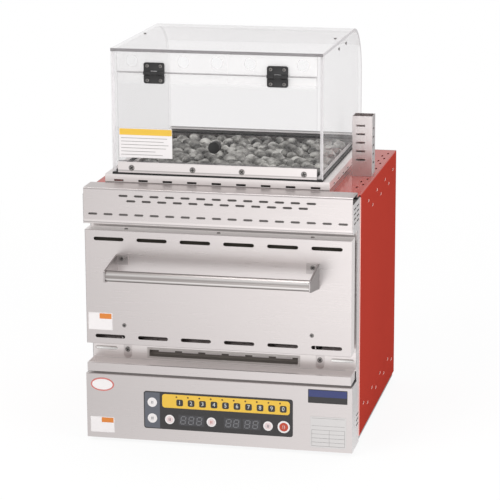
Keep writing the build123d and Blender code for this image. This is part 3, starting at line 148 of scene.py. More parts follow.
class Graph:
    """The node tree of a material or of the world, under construction."""

    def __init__(self, name, kind=bpy.data.materials):
        self.made = kind.new(name)
        self.made.use_nodes = True
        self.tree = self.made.node_tree
        self.tree.nodes.clear()

    def node(self, kind, settings=None, values=None, out=0):
        """Adds one node: its settings first, then the values or links of its sockets."""
        made = self.tree.nodes.new(kind)
        for name, value in (settings or {}).items():
            if name == "stops":
                fill_ramp(made.color_ramp, value)
            else:
                setattr(made, name, value)
        for name, value in (values or {}).items():
            if isinstance(value, Signal):
                self.tree.links.new(value.socket, made.inputs[name])
            else:
                made.inputs[name].default_value = value
        return Signal(self, made.outputs[out])

    def place(self):
        """The position on the piece, in metres."""
        return self.node("ShaderNodeTexCoord", out="Object")

    def axes(self):
        """The position's X, Y and Z as three signals."""
        split = self.node("ShaderNodeSeparateXYZ", values={0: self.place()})
        return [split.also(i) for i in range(3)]

    def blend(self, amount, low, high):
        """A blend of two shaders by an amount from 0 to 1."""
        return self.node("ShaderNodeMixShader", values={0: amount, 1: low, 2: high})

    def done(self, shader, ending="ShaderNodeOutputMaterial"):
        """Links the last shader to the output."""
        output = self.tree.nodes.new(ending)
        self.tree.links.new(shader.socket, output.inputs["Surface"])
        return self.made


# %% [markdown]
# ## The parts of a finish
# Most finishes are built from the same few things: noise, a blend of two colours, relief,
# rounded edges and the main shader. Giving each a short name keeps the finishes below readable.


# %% Helper for finishes
class Finish(Graph):
    """A material under construction."""

    def noise(self, scale, stretch=(1, 1, 1), detail=2, rough=0.5):
        """Cloudy noise of so many waves per metre, stretched along the axes."""
        turned = self.node("ShaderNodeMapping", values={"Vector": self.place(), "Scale": stretch})
        return self.node(
            "ShaderNodeTexNoise",
            values={"Vector": turned, "Scale": scale, "Detail": detail, "Roughness": rough},
        )

    def mix(self, amount, low, high):
        """A blend of two colours by an amount from 0 to 1."""
        return self.node(
            "ShaderNodeMix", {"data_type": "RGBA"}, {0: amount, 6: low, 7: high}, out=2
        )

    def bump(self, height, strength, distance, edge=0):
        """Small relief from a height signal, over edges that are rounded in the shading alone."""
        values = {"Height": height, "Strength": strength, "Distance": distance}
        if edge:
            values["Normal"] = self.node("ShaderNodeBevel", {"samples": 4}, {"Radius": edge})
        return self.node("ShaderNodeBump", values=values)

    def glow(self, tint, strength=1.0):
        """Plain light of one colour."""
        return self.node("ShaderNodeEmission", values={"Color": tint, "Strength": strength})

    def surface(self, **values):
        """The main shader, with socket names written with _ for a space."""
        named = {name.replace("_", " "): value for name, value in values.items()}
        return self.node("ShaderNodeBsdfPrincipled", values=named)


# %% [markdown]
# ## Colours
# Colours are chosen on a screen, as values from 0 to 255, but a shader adds up light, so it
# wants linear values. One function converts them, and another makes a dimmer shade of one.


# %% Helpers for colours
def colour(red, green, blue):
    """A colour as a shader wants it, from the 0 to 255 values of a screen."""
    def linear(value):
        value /= 255
        return value / 12.92 if value < 0.04045 else ((value + 0.055) / 1.055) ** 2.4
    return (linear(red), linear(green), linear(blue), 1.0)


def dimmed(tint, share):
    """A colour at a share of its brightness."""
    return tuple(value * share for value in tint[:3]) + (1,)


WHITE = (1, 1, 1, 1)
NO_LIGHT = (0, 0, 0, 1)


# %% [markdown]
# ## The floor
# The oven stands on a pale floor that does three jobs. The camera sees it white, but close to
# the oven a small share of it is a matt face that takes a soft contact shadow, and that share
# fades with distance. The clear sheets show it in the same way. Steel shows what it mirrors, so
# for glossy rays the floor is a graded light of its own: brighter to the right and far in front,
# and dimmer from the oven's front backwards. A Light Path node tells the rays apart.

# %% Floor
FLOOR_BACK = 2.0  # the floor's middle lies so far behind the oven
SHADOW_SHARE = 0.1

bpy.ops.mesh.primitive_plane_add(size=14, location=(0, FLOOR_BACK, -0.0004))
floor = bpy.context.object
floor.name = "floor"
paper = Finish("pale_floor")
rays = paper.node("ShaderNodeLightPath")
seen = rays.also("Is Camera Ray") + rays.also("Is Transmission Ray")
matt = paper.surface(Base_Color=(0.86, 0.86, 0.86, 1), Roughness=0.9, Specular_IOR_Level=0.1)
reach = paper.node(
    "ShaderNodeVectorMath", {"operation": "DISTANCE"},
    {0: paper.place(), 1: (0, -FLOOR_BACK, 0)}, out=1,
)
far = reach.above(1.3, 0.5)
shown = paper.blend(seen * (far * SHADOW_SHARE + (1 - SHADOW_SHARE)), matt, paper.glow(WHITE))
floor_x, floor_y, _ = paper.axes()
on_the_right = floor_x.above(-0.35, 0.55) * 0.6 + 0.5
in_front = (floor_y * -1).above(FLOOR_BACK + 1.75, 1.25) * 1.125 + 1
behind = floor_y.above(-0.05 - FLOOR_BACK, 0.15)
graded = paper.glow(on_the_right * in_front * (1 - behind * 0.5))
pale_floor = paper.done(paper.blend(rays.also("Is Glossy Ray"), shown, graded))
floor.data.materials.append(pale_floor)
print("floor", [round(side, 2) for side in floor.dimensions])

# %% [markdown]
# ## The world and the lamps
# The camera sees a white world, while the oven is lit by a softer one, a little warm. Two large
# area lamps model the form: a big soft one from the upper left and a weaker one from the
# right. A third lights the top. The first is hidden from glossy rays, so that steel shows the
# floor's graded light instead of a hard white square.

# %% World and lamps
SKY_LEVEL = 0.64
LOOK_AT = Vector((0, 0, 0.3))

sky = Graph("studio", bpy.data.worlds)
bpy.context.scene.world = sky.made
sky_rays = sky.node("ShaderNodeLightPath")
sky_seen = sky.node("ShaderNodeMath", {"operation": "MAXIMUM"}, {
    0: sky_rays.also("Is Camera Ray"), 1: sky_rays.also("Is Transmission Ray"),
})
soft_sky = sky.node(
    "ShaderNodeBackground", values={"Color": (1.0, 0.99, 0.985, 1), "Strength": SKY_LEVEL}
)
white_sky = sky.node("ShaderNodeBackground", values={"Color": WHITE, "Strength": 1.0})
sky.done(sky.blend(sky_seen, soft_sky, white_sky), "ShaderNodeOutputWorld")


def soft_lamp(name, place, size, power):
    """A square area lamp that looks at the middle of the oven."""
    data = bpy.data.lights.new(name, "AREA")
    data.shape = "SQUARE"
    data.size = size
    data.energy = power
    lamp = bpy.data.objects.new(name, data)
    lamp.location = place
    lamp.rotation_mode = "QUATERNION"
    lamp.rotation_quaternion = (LOOK_AT - lamp.location).to_track_quat("-Z", "Y")
    bpy.context.scene.collection.objects.link(lamp)
    print(name, power, "W")
    return lamp


key_lamp = soft_lamp("key_lamp", (-1.6, -2.4, 2.6), size=2.0, power=62)
key_lamp.visible_glossy = False
soft_lamp("fill_lamp", (2.6, -1.4, 1.6), size=1.8, power=26)
soft_lamp("top_lamp", (0.2, 0.4, 3.0), size=2.0, power=30)

# %% [markdown]
# ## Brushed steel
# Brushed stainless sheet shows fine parallel scratches that spread its reflections. A noise
# stretched far along one axis gives those scratches: it varies the colour and roughness a
# little and drives a very small bump. The grain runs along X on the long front sheets. Zinc
# sheet and polished parts use the same finish with an even grain and another roughness.

# %% Brushed finishes
STEEL_TINT = colour(224, 217, 216)
ALONG_X = (0.02, 1, 1)
ALONG_Y = (1, 0.02, 1)
ALONG_Z = (1, 1, 0.02)
EVEN = (1, 1, 1)


class Brushed(Finish):
    """Brushed metal under construction, with its grain, its soft clouds and its colour."""

    def __init__(self, name, tint=STEEL_TINT, stretch=ALONG_X):
        super().__init__(name)
        self.grain = self.noise(900, stretch)
        self.clouds = self.noise(7)
        self.shade = self.mix(self.grain * 0.5 + self.clouds * 0.5, dimmed(tint, 0.90), tint)

    def metal(self, rough=0.30, metallic=1.0, **more):
        """The finished material, of a mean roughness and with any further sockets."""
        return self.done(self.surface(
            Base_Color=self.shade, Metallic=metallic,
            Roughness=self.grain * 0.14 + self.clouds * 0.06 + (rough - 0.1),
            Normal=self.bump(self.grain, 0.12, 0.0002, edge=0.0006), **more,
        ))


steel_across = Brushed("steel_across").metal()
steel_side = Brushed("steel_side", colour(214, 211, 211), ALONG_Z).metal(metallic=0.35)
steel_upright = Brushed("steel_upright", stretch=ALONG_Z).metal()
steel_deep = Brushed("steel_deep", colour(206, 200, 197), ALONG_Y).metal()
dark_zinc = Brushed("dark_zinc", colour(70, 68, 68), EVEN).metal(rough=0.5)
zinc = Brushed("zinc_sheet", colour(178, 180, 182), EVEN).metal(rough=0.42)
bright = Brushed("bright_steel", colour(232, 230, 228), EVEN).metal(rough=0.22)
print("STEEL_TINT is", [round(value, 3) for value in STEEL_TINT])

# %% [markdown]
# ## Folded edges that catch light
# Where a sheet is folded, the bend mirrors a lamp as a thin bright line, and a sheet that runs
# up behind another one goes dark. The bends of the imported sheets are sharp, so such lines are
# drawn into the finish instead: a mask on the place gives a faint light of the steel's own
# colour. This costs no geometry, and the line stays on its fold when the door moves.

# %% Steel with lit folds
LINE_LIGHT = (1, 0.96, 0.94, 1)
FACE_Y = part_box("door_outer_panel")[0].y
DOOR_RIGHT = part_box("door_outer_panel")[1].x
DOOR_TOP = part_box("door_outer_panel")[1].z


def folded_steel(name, lit=(), glow=0.2, rim=None, shaded=None):
    """Steel with painted light between heights and right of a rim, and painted shade with a faint
    painted glow above the height `shaded`.

    The lit stretches leave out the sheet's front face."""
    steel = Brushed(name)
    x, y, z = steel.axes()
    behind_face = y.above(FACE_Y + 0.0014, 0.0003)  # the front face itself stays plain
    catch = 0.0
    for low, high in lit:
        catch = behind_face * z.above(low, 0.0003) * (1 - z.above(high, 0.001)) + catch
    if rim:
        catch = x.above(rim, 0.0001) + catch
    shade_glow = NO_LIGHT
    if shaded:
        # Painted shade above the height, where the sheet runs up behind another one, with a faint
        # grey painted glow.
        hidden = z.above(shaded, 0.001)
        steel.shade = steel.mix(hidden * 0.9, steel.shade, (0.02, 0.019, 0.018, 1))
        shade_glow = steel.mix(hidden, shade_glow, (0.62, 0.58, 0.56, 1))
    return steel.metal(
        Emission_Color=steel.mix(catch, shade_glow, LINE_LIGHT), Emission_Strength=glow
    )


# Painted light: the door's top flange and right rim, two strips of the front plate and the tray glow
# faintly; the plate above the door gets painted shade.
steel_door = folded_steel(
    "steel_door", ((DOOR_TOP - 0.0006, DOOR_TOP + 0.008),), glow=0.26, rim=DOOR_RIGHT - 0.0002
)
steel_plate = folded_steel(
    "steel_plate", ((0.13, 0.165), (DOOR_TOP - 0.009, DOOR_TOP + 0.008)), glow=0.14,
    shaded=DOOR_TOP + 0.009,
)
steel_tray = folded_steel("steel_tray", ((0.12, 0.14),), glow=0.15)
print("the door's front is at Y", round(FACE_Y, 4), "and its top at Z", round(DOOR_TOP, 4))

# %% [markdown]
# ## Bands along a sheet
# Some narrow pieces show several bends one above the other, each with its own brightness, and some
# lie in shade. A list of bands paints that light and shade between two heights: a level below 1 is
# painted shade, and one above 1 adds painted light. The heights are measured from the lower edge of
# the imported piece.


# %% Steel with bands
def banded_steel(name, node, bands, shades=()):
    """Steel with (from, to, level) bands of painted light and shade above a piece's lower edge, and
    painted shades along X.
    """
    steel = Brushed(name)
    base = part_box(node)[0].z
    axes = steel.axes()
    light = 0.0
    rows = [(2, base + low, base + high, level) for low, high, level in bands]
    rows += [(0, *shade) for shade in shades]
    for axis, low, high, level in rows:
        inside = axes[axis].above(low, 0.0002) * (1 - axes[axis].above(high, 0.0002))
        if level > 1:
            light = inside * (level - 1) + light
        else:
            steel.shade = steel.mix(inside * (1 - level), steel.shade, (0.01, 0.01, 0.01, 1))
    print(name, len(rows), "bands from", round(base, 4), "up")
    return steel.metal(
        Emission_Color=steel.mix(light, NO_LIGHT, LINE_LIGHT), Emission_Strength=0.2
    )


# Painted light and shade: bright and dark lines along the hood's lip, the case frame's front and the
# sill; the handle brackets are darker, with a dark outer face on the right cheek; the hinge arms and
# the pan's walls are dark.
steel_hood = banded_steel("steel_hood", "hood", (
    (-0.001, 0.0022, 2.0), (0.0022, 0.0042, 0.72), (0.0042, 0.0075, 1.5), (0.0596, 0.068, 1.25),
))
steel_frame = banded_steel("steel_frame", "case_base_frame", (
    (0.0091, 0.0223, 2.0), (0.0074, 0.0091, 0.5),
))
steel_bracket = banded_steel("steel_bracket", "handle_brackets", ((-0.01, 0.05, 0.78),), (
    (0.1686, 0.18, 0.2), (-0.1667, -0.1663, 0.6),
))
steel_arm = banded_steel("steel_arm", "hinge_brackets", ((0.036, 0.16, 0.05),))
steel_pan = banded_steel("steel_pan", "stone_pan", ((-0.01, 0.0225, 0.2),))
steel_sill = banded_steel("steel_sill", "front_sill", (
    (0.0045, 0.02, 1.6), (0.0025, 0.0045, 0.75),
))

# %% [markdown]
# ## Red paint
# The shell is sprayed a warm red. Paint has a faint orange-peel relief. The sides are matt, so they
# have no shine of their own, and a thin coat on the top sheet alone gives it a soft gloss. The cut
# walls of the slots in the right side catch light, so between the inner and the outer face of that
# side the colour is a pale painted highlight that also glows faintly.

# %% Paint
SHELL_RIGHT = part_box("outer_shell")[1].x
SHELL_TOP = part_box("outer_shell")[1].z
RED = colour(177, 63, 52)
SLOT_WALL_GLINT = colour(244, 196, 190)

paint = Finish("red_paint")
peel = paint.noise(420, detail=1)
clouds = paint.noise(5)
x, y, z = paint.axes()
between_faces = x.above(SHELL_RIGHT - 0.0008, 0.0001) * (1 - x.above(SHELL_RIGHT - 0.00005, 0.00005))
# Painted highlight: the cut walls of the slots are pale and glow faintly.
wall = between_faces * (1 - z.above(SHELL_TOP - 0.0047, 0.001)) * y.above(FACE_Y + 0.05, 0.0003)
red_paint = paint.done(paint.surface(
    Base_Color=paint.mix(wall, paint.mix(clouds, dimmed(RED, 0.92), RED), SLOT_WALL_GLINT),
    Roughness=clouds * 0.1 + 0.33, Specular_IOR_Level=0.0,
    Emission_Color=paint.mix(wall, NO_LIGHT, SLOT_WALL_GLINT), Emission_Strength=0.5,
    Coat_Weight=z.above(SHELL_TOP - 0.0012, 0.0005), Coat_Roughness=0.12,
    Normal=paint.bump(peel, 0.08, 0.0003, edge=0.0003),
))
print(red_paint.name, "on a shell whose right side is at X", round(SHELL_RIGHT, 4))

# %% [markdown]
# ## Clear acrylic
# A sheet of acrylic lets most light straight through and mirrors a little more at a slanting view. A
# mix of a transparent and a glossy shader by a Fresnel factor does this without bending the light,
# which keeps what stands behind it clean. The cut edges of such a sheet look darker or milky, so each
# is masked by its place and gets its own tone. The upper part of the front also gets a painted
# reflection: above a height a pale matt layer is blended in, stronger to the right.


# %% Clear sheet
def clear_sheet(name, cuts=(), shine_from=None, tint=0.974):
    """A clear sheet with Fresnel gloss, toned cut edges and a painted soft reflection above a height.
    """
    sheet = Finish(name)
    facing = sheet.node("ShaderNodeFresnel", values={"IOR": 1.45})
    clouds = sheet.noise(9, detail=1)
    gloss = sheet.surface(
        Base_Color=sheet.mix(clouds, colour(236, 235, 236), colour(246, 246, 247)),
        Roughness=clouds * 0.02 + 0.03,
    )
    clear = sheet.node(
        "ShaderNodeBsdfTransparent", values={"Color": (tint, tint * 0.997, tint * 0.998, 1)}
    )
    whole = sheet.blend(facing * 0.2 + 0.015, clear, gloss)
    axes = sheet.axes()
    # Painted reflection: above the given height a pale matt layer is blended in, more of it to the
    # right.
    if shine_from:
        shine_layer = sheet.surface(Base_Color=(0.95, 0.94, 0.94, 1), Roughness=0.4)
        shine = axes[2].above(shine_from, 0.004) * (axes[0].above(0.0, 0.2) * 0.34 + 0.06)
        whole = sheet.blend(shine, whole, shine_layer)
    for axis, sign, limit, tone in cuts:
        edge = (axes[axis] * sign).above(limit * sign, 0.0001)
        whole = sheet.blend(edge * 0.85, whole, sheet.surface(Base_Color=tone, Roughness=0.4))
    print(name, len(cuts), "cut edges")
    return sheet.done(whole)


# %% [markdown]
# ## The sheets of the warming case
# The case has a bent cover, two sides, the stiles and a strip in front, and a flap. They share
# one clear finish and differ in which of their cut edges can be seen and how pale each is.

# %% Acrylic of each sheet
EDGE_DARK = colour(112, 108, 110)
EDGE_SOFT = colour(168, 165, 166)
EDGE_PALE = colour(236, 234, 235)
EDGE_COVER = colour(206, 203, 205)


def cut_edge(node, axis, sign, tone, depth=0.0004):
    """A cut edge at the high (1) or low (-1) end of a packed sheet along an axis."""
    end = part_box(node)[1 if sign > 0 else 0][axis]
    return axis, sign, end - sign * depth, tone


acrylic_cover = clear_sheet("acrylic_cover", (
    cut_edge("case_top_back", 0, 1, EDGE_COVER, 0.0003),
    cut_edge("case_top_back", 1, -1, EDGE_DARK, 0.0006),
))
acrylic_sides = clear_sheet("acrylic_sides", (cut_edge("case_side_panels", 1, -1, EDGE_PALE),))
acrylic_stiles = clear_sheet(
    "acrylic_stiles", (cut_edge("case_front_stiles", 0, 1, EDGE_PALE, 0.0003),)
)
acrylic_strip = clear_sheet(
    "acrylic_strip", (cut_edge("case_front_strip", 2, -1, EDGE_SOFT),), shine_from=0.45, tint=0.96
)
acrylic_flap = clear_sheet("acrylic_flap", (
    cut_edge("flap_panel", 2, 1, EDGE_SOFT), cut_edge("flap_panel", 2, -1, EDGE_DARK),
), shine_from=0.5985, tint=0.96)

# %% [markdown]
# ## Plastic, rubber and the plain inner materials
# The knob, the small hinges and the cable gland are black moulded plastic, the feet and the
# seal of the case are rubber, and the blanket is mineral fibre. Each gets a fine grain so that
# no surface is a single flat colour.


# %% Moulded and soft materials
def moulded(name, tint, rough, grain_scale=700, relief=0.1, spread=0.8):
    """A matt or satin material with a fine grain."""
    made = Finish(name)
    grain = made.noise(grain_scale, detail=3)
    clouds = made.noise(30)
    return made.done(made.surface(
        Base_Color=made.mix(grain * 0.5 + clouds * 0.5, dimmed(tint, spread), tint),
        Roughness=grain * 0.1 + (rough - 0.05),
        Normal=made.bump(grain, relief, 0.0003, edge=0.0005),
    ))


black_plastic = moulded("black_plastic", colour(42, 41, 42), 0.42)
knob_black = moulded("knob_black", colour(16, 15, 15), 0.36)
rubber = moulded("rubber", colour(38, 37, 37), 0.75)
dark_steel = moulded("dark_steel", colour(82, 76, 72), 0.5)
fibre = moulded("fibre_blanket", colour(82, 77, 70), 0.95, 260, 0.6)
fibre_seal = moulded("fibre_seal", colour(112, 108, 104), 0.9, 500, 0.6, 0.6)
board_green = moulded("circuit_board", colour(40, 92, 62), 0.5)
print("materials so far", len(bpy.data.materials))

# %% [markdown]
# ## The air intake below the door
# The intake is a channel pressed back into the front. Its rim is pale, and its inside gets painted
# shade, darker towards its top, where less light comes in, and a faint painted glow in the same
# colours. Two masks on the place show that: one on the depth behind the rim and one on the height.

# %% Recess of the intake
RIM_TINT = colour(214, 208, 205)
INSIDE_TOP = colour(66, 61, 58)
INSIDE_LOW = colour(146, 138, 132)
intake_low, intake_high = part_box("intake_channel")

intake = Finish("intake_steel")
grain = intake.noise(700, detail=3)
_, y, z = intake.axes()
# Painted shade inside the channel, darker towards its top, and a faint painted glow of the same
# colours.
inside = intake.mix(z.above(intake_low.z + 0.0068, 0.006), INSIDE_LOW, INSIDE_TOP)
deep = y.above(intake_low.y + 0.001, 0.0002)
intake_steel = intake.done(intake.surface(
    Base_Color=intake.mix(deep, RIM_TINT, inside), Metallic=0.4, Roughness=grain * 0.1 + 0.4,
    Emission_Color=intake.mix(deep, NO_LIGHT, inside), Emission_Strength=0.15,
    Normal=intake.bump(grain, 0.1, 0.0002),
))
print("intake from Z", round(intake_low.z, 4), "to", round(intake_high.z, 4))

# %% [markdown]
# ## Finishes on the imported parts
# The sheets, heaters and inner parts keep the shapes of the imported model. A table says which
# finish goes on which of them, and a loop exchanges their materials. One table is easier to
# check than a line for each part.

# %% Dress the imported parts
DRESS = {
    steel_across: ["control_panel", "door_inner_panel", "oven_liner", "handle_bar"],
    steel_hood: ["hood"],
    steel_frame: ["case_base_frame"],
    steel_tray: ["crumb_tray"],
    steel_side: ["side_frame_left", "side_frame_right"],
    steel_door: ["door_outer_panel"],
    steel_plate: ["front_plate"],
    steel_bracket: ["handle_brackets"],
    intake_steel: ["intake_channel"],
    steel_upright: ["flue_tower"],
    steel_deep: ["crumb_pan", "rack_rails"],
    zinc: [
        "base_pan", "divider_shelf", "tray_runners", "rear_panel", "exhaust_duct", "heater_well",
    ],
    steel_arm: ["door_hinge_arms", "hinge_brackets", "hinge_pins"],
    steel_pan: ["stone_pan"],
    steel_sill: ["front_sill"],
    dark_zinc: ["front_crossbar"],
    bright: [
        "thermostat_probe", "oven_rack", "door_screws", "flap_hinge_pins", "cabinet_screws",
        "flap_screws",
    ],
    red_paint: ["outer_shell"],
    acrylic_cover: ["case_top_back"],
    acrylic_sides: ["case_side_panels"],
    acrylic_stiles: ["case_front_stiles"],
    acrylic_strip: ["case_front_strip"],
    acrylic_flap: ["flap_panel"],
    black_plastic: [
        "flap_hinge_fixed", "flap_hinge_moving", "flap_knob", "cable_gland", "terminal_block",
        "power_contactors", "key_membrane",
    ],
    rubber: ["rubber_feet", "case_seal"],
    dark_steel: ["upper_heaters", "lower_heaters", "stone_heater"],
    fibre: ["insulation_blanket", "door_insulation"],
    fibre_seal: ["door_gasket", "stone_bed"],
    board_green: ["control_board"],
}


def dressed(piece, finish):
    """Gives a piece one finish."""
    piece.data.materials.clear()
    piece.data.materials.append(finish)
    return piece


for finish, names in DRESS.items():
    for name in names:
        dressed(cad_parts[name], finish)
print("dressed", sum(len(names) for names in DRESS.values()), "of", len(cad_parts))

# %% [markdown]
# ## Printed film, foil and screws
# The keys and their film are printed plastic: satin, with a faint grain. The rating plate is
# brushed foil, and the screws are a duller steel than the sheets. All of them come from the
# finishes above, with a colour and a roughness of their own.


# %% Film, foil and screw finishes
def film_ink(name, tint, rough=0.34):
    """Printed satin film."""
    return moulded(name, tint, rough, 900, 0.03, 0.94)


film_black = film_ink("film_charcoal", colour(50, 48, 49))
film_grey = film_ink("film_grey", colour(92, 95, 104))
film_yellow = film_ink("film_yellow", colour(228, 186, 66))
film_brown = film_ink("film_brown", colour(96, 62, 24))
film_white = film_ink("film_white", colour(232, 228, 228))
film_pink = film_ink("film_pink", colour(222, 204, 204))
film_red = film_ink("film_red", colour(186, 70, 48))
film_window = film_ink("film_window", colour(64, 63, 66), 0.2)
film_segment = film_ink("film_segment", colour(112, 112, 116))
film_navy = film_ink("film_navy", colour(54, 62, 112))
film_orange = film_ink("film_orange", colour(214, 128, 52))
print_white = film_ink("print_white", colour(226, 228, 222))
film_rose = film_ink("film_rose", colour(206, 118, 112))
foil = Brushed("foil_plate", colour(228, 225, 224), EVEN).metal(rough=0.4)
foil_line = Brushed("foil_line", colour(170, 166, 165), EVEN).metal(rough=0.45)
screw_steel = Brushed("screw_steel", colour(152, 148, 146), EVEN).metal(rough=0.3)
# Painted shade for the screws' cross recesses.
recess_shade = moulded("recess_shade", colour(52, 50, 49), 0.6)
ledge_grey = moulded("ledge_grey", colour(138, 136, 134), 0.4)
print("materials so far", len(bpy.data.materials))

# %% [markdown]
# ## The polished bar
# A polished round bar mirrors the room as straight bands along its length. In an empty studio
# it would mirror little, so a colour ramp paints those bands, from the lower side of the bar to
# its upper side. A faint grain keeps them from looking printed.

# %% Finish of the handle bar
BAR_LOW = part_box("handle_bar")[0].z
BAR_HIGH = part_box("handle_bar")[1].z
BAR_BANDS = [
    (0.0, colour(104, 99, 97)), (0.16, colour(150, 144, 142)), (0.32, colour(252, 248, 246)),
    (0.44, colour(172, 165, 163)), (0.6, colour(184, 177, 175)), (0.76, colour(255, 252, 250)),
    (0.9, colour(200, 193, 191)), (1.0, colour(150, 144, 142)),
]

polish = Finish("steel_bar")
height = (polish.axes()[2] - BAR_LOW) * (1 / (BAR_HIGH - BAR_LOW))
bands = polish.node("ShaderNodeValToRGB", {"stops": BAR_BANDS}, {"Fac": height})
grain = polish.noise(900, ALONG_X)
steel_bar = polish.done(polish.surface(
    Base_Color=bands, Metallic=1.0, Roughness=grain * 0.1 + 0.3,
    Normal=polish.bump(grain, 0.1, 0.0002),
))
print("bar", round((BAR_HIGH - BAR_LOW) * 1000, 1), "mm thick")

# %% [markdown]
# ## Stone
# River stones are a mottled grey. Two noises give that: a coarse one makes patches of a
# centimetre or two, a fine one makes grains, and a ramp turns their sum into three greys.

# %% Finish of the stones
STONE_GREYS = [
    (0.36, colour(56, 55, 53)), (0.5, colour(120, 119, 115)), (0.64, colour(188, 187, 182)),
]

rock = Finish("river_stone")
patches = rock.noise(42, rough=0.6)
grains = rock.noise(900)
mottle = rock.node(
    "ShaderNodeValToRGB", {"stops": STONE_GREYS}, {"Fac": patches * 0.8 + grains * 0.2}
)
stone_finish = rock.done(rock.surface(
    Base_Color=mottle, Roughness=grains * 0.2 + 0.6, Normal=rock.bump(grains, 0.3, 0.0004),
))
print("finishes in all", len(bpy.data.materials))

# %% [markdown]
# ## Working in bench millimetres
# Every piece is placed from the oven's front and the worktop: X to the right of the middle, Y
# back from the door's face and Z up. One function turns such a point into the model's metres.
# From here on, sizes and places are written in millimetres, and MM turns them into metres where
# a tool wants metres. The other functions here add a primitive at its size and place and write
# that place into its mesh.

# %% Places and primitives
MM = 0.001
ALONG = {"X": (0, math.pi / 2, 0), "Y": (math.pi / 2, 0, 0), "Z": (0, 0, 0)}


def at(x, y, z):
    """A bench point in millimetres as a place in the model."""
    return Vector((x * MM, FACE_Y + y * MM, z * MM))


def only(piece):
    """Makes one piece the only selected object."""
    bpy.ops.object.select_all(action="DESELECT")
    piece.select_set(True)
    bpy.context.view_layer.objects.active = piece
    return piece


def applied(name):
    """Names the object just made and writes its place into its mesh."""
    piece = bpy.context.object
    piece.name = piece.data.name = name
    bpy.ops.object.transform_apply(location=True, rotation=True, scale=True)
    return piece


def cuboid(name, x, y, z):
    """A box from its low and high X, Y and Z."""
    low, high = at(x[0], y[0], z[0]), at(x[1], y[1], z[1])
    bpy.ops.mesh.primitive_cube_add(size=1, location=(low + high) / 2, scale=high - low)
    return applied(name)


def drum(name, centre, radius, length, axis="Y", sides=32):
    """A cylinder along an axis, around its middle point."""
    bpy.ops.mesh.primitive_cylinder_add(
        vertices=sides, radius=radius * MM, depth=length * MM, location=at(*centre),
        rotation=ALONG[axis],
    )
    return applied(name)


# %% [markdown]
# ## Selecting and rounding
# Edit-mode operators act on what is selected. Without a window the selection is made in code,
# by a test of each face's centre and normal, or of an edge's two ends. Corners are rounded by a
# bevel of the edges between them, and a whole piece by a Bevel modifier, which skips flat joints.


# %% Select faces and edges, round corners and edges
CORNER_STEPS = 5
SHARP_ABOVE = math.radians(30)


def edit_faces(piece, test):
    """Opens a piece in edit mode with the faces selected whose centre and normal pass a test."""
    only(piece)
    for part in (*piece.data.vertices, *piece.data.edges):
        part.select = False
    for face in piece.data.polygons:
        face.select = test(face.center, face.normal)
    bpy.context.tool_settings.mesh_select_mode = (False, False, True)
    bpy.ops.object.mode_set(mode="EDIT")


def edit_edges(piece, test):
    """Opens a piece in edit mode with the edges selected whose two ends pass a test."""
    only(piece)
    points = piece.data.vertices
    for part in (*points, *piece.data.polygons):
        part.select = False
    for edge in piece.data.edges:
        edge.select = test(*(points[i].co for i in edge.vertices))
    bpy.context.tool_settings.mesh_select_mode = (False, True, False)
    bpy.ops.object.mode_set(mode="EDIT")


def round_corners(piece, radius, test=lambda middle: True):
    """Rounds those corners of a plate facing along Y whose middle passes a test."""
    def corner(a, b):
        depth = abs(a.y - b.y)
        straight = (a - b).length - depth < 1e-6
        return depth > 1e-6 and straight and test((a + b) / 2)
    edit_edges(piece, corner)
    bpy.ops.mesh.bevel(offset=radius * MM, segments=CORNER_STEPS, affect="EDGES")
    bpy.ops.object.mode_set(mode="OBJECT")
    return piece


def soften(piece, width, segments=2):
    """Rounds all sharp edges of a piece by a width."""
    only(piece)
    bevel = piece.modifiers.new("soft", "BEVEL")
    bevel.width = width * MM
    bevel.segments = segments
    bevel.limit_method = "ANGLE"
    bevel.angle_limit = SHARP_ABOVE
    bpy.ops.object.modifier_apply(modifier="soft")
    return piece


# %% [markdown]
# ## Copying, joining and placing
# What repeats is modelled once and copied, each copy with a mesh of its own.


# %% Copy, join and place
SMOOTH_BELOW = math.radians(35)


def copied(piece, matrix):
    """A copy with its own mesh, put in place by a matrix."""
    twin = piece.copy()
    twin.data = piece.data.copy()
    twin.data.transform(matrix)
    bpy.context.scene.collection.objects.link(twin)
    return twin


def to_the_right(step):
    """A move of so many millimetres along X."""
    return Matrix.Translation((step * MM, 0, 0))


def joined(name, pieces):
    """One object made of several."""
    only(pieces[0])
    for piece in pieces:
        piece.select_set(True)
    bpy.ops.object.join()
    piece = bpy.context.object
    piece.name = piece.data.name = name
    return piece


def placed(piece, body, slot, *nodes):
    only(piece)
    bpy.ops.object.shade_smooth_by_angle(angle=SMOOTH_BELOW)
    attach(piece, body)
    if nodes:
        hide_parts(*nodes)
    print(piece.name, len(piece.data.polygons), "faces, on", body)
    return piece


# %% [markdown]
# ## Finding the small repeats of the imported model
# Screws and feet are packed in groups, one node for each. The nodes know the exact places, so
# the places are read back from them: points that lie close together belong to one screw.


# %% Read back the places of repeats
def repeats(node, reach):
    """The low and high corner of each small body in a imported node."""
    groups = []
    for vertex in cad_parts[node].data.vertices:
        for group in groups:
            if (vertex.co - group[0]).length < reach * MM:
                group.append(vertex.co.copy())
                break
        else:
            groups.append([vertex.co.copy()])
    return [
        (Vector(map(min, zip(*group))), Vector(map(max, zip(*group)))) for group in groups
    ]


# %% [markdown]
# ## Screw heads
# The sheets are held by pan-head screws with a cross recess. One head is turned from a cylinder: its
# rim is bevelled into a dome, and two small bars are cut out of it with Boolean modifiers. The cuts
# get a dark colour of their own, painted shade for the recess, so that the cross shows from afar.

# %% Model one screw head
HEAD_DEPTH = 0.34  # of a head whose radius is 1

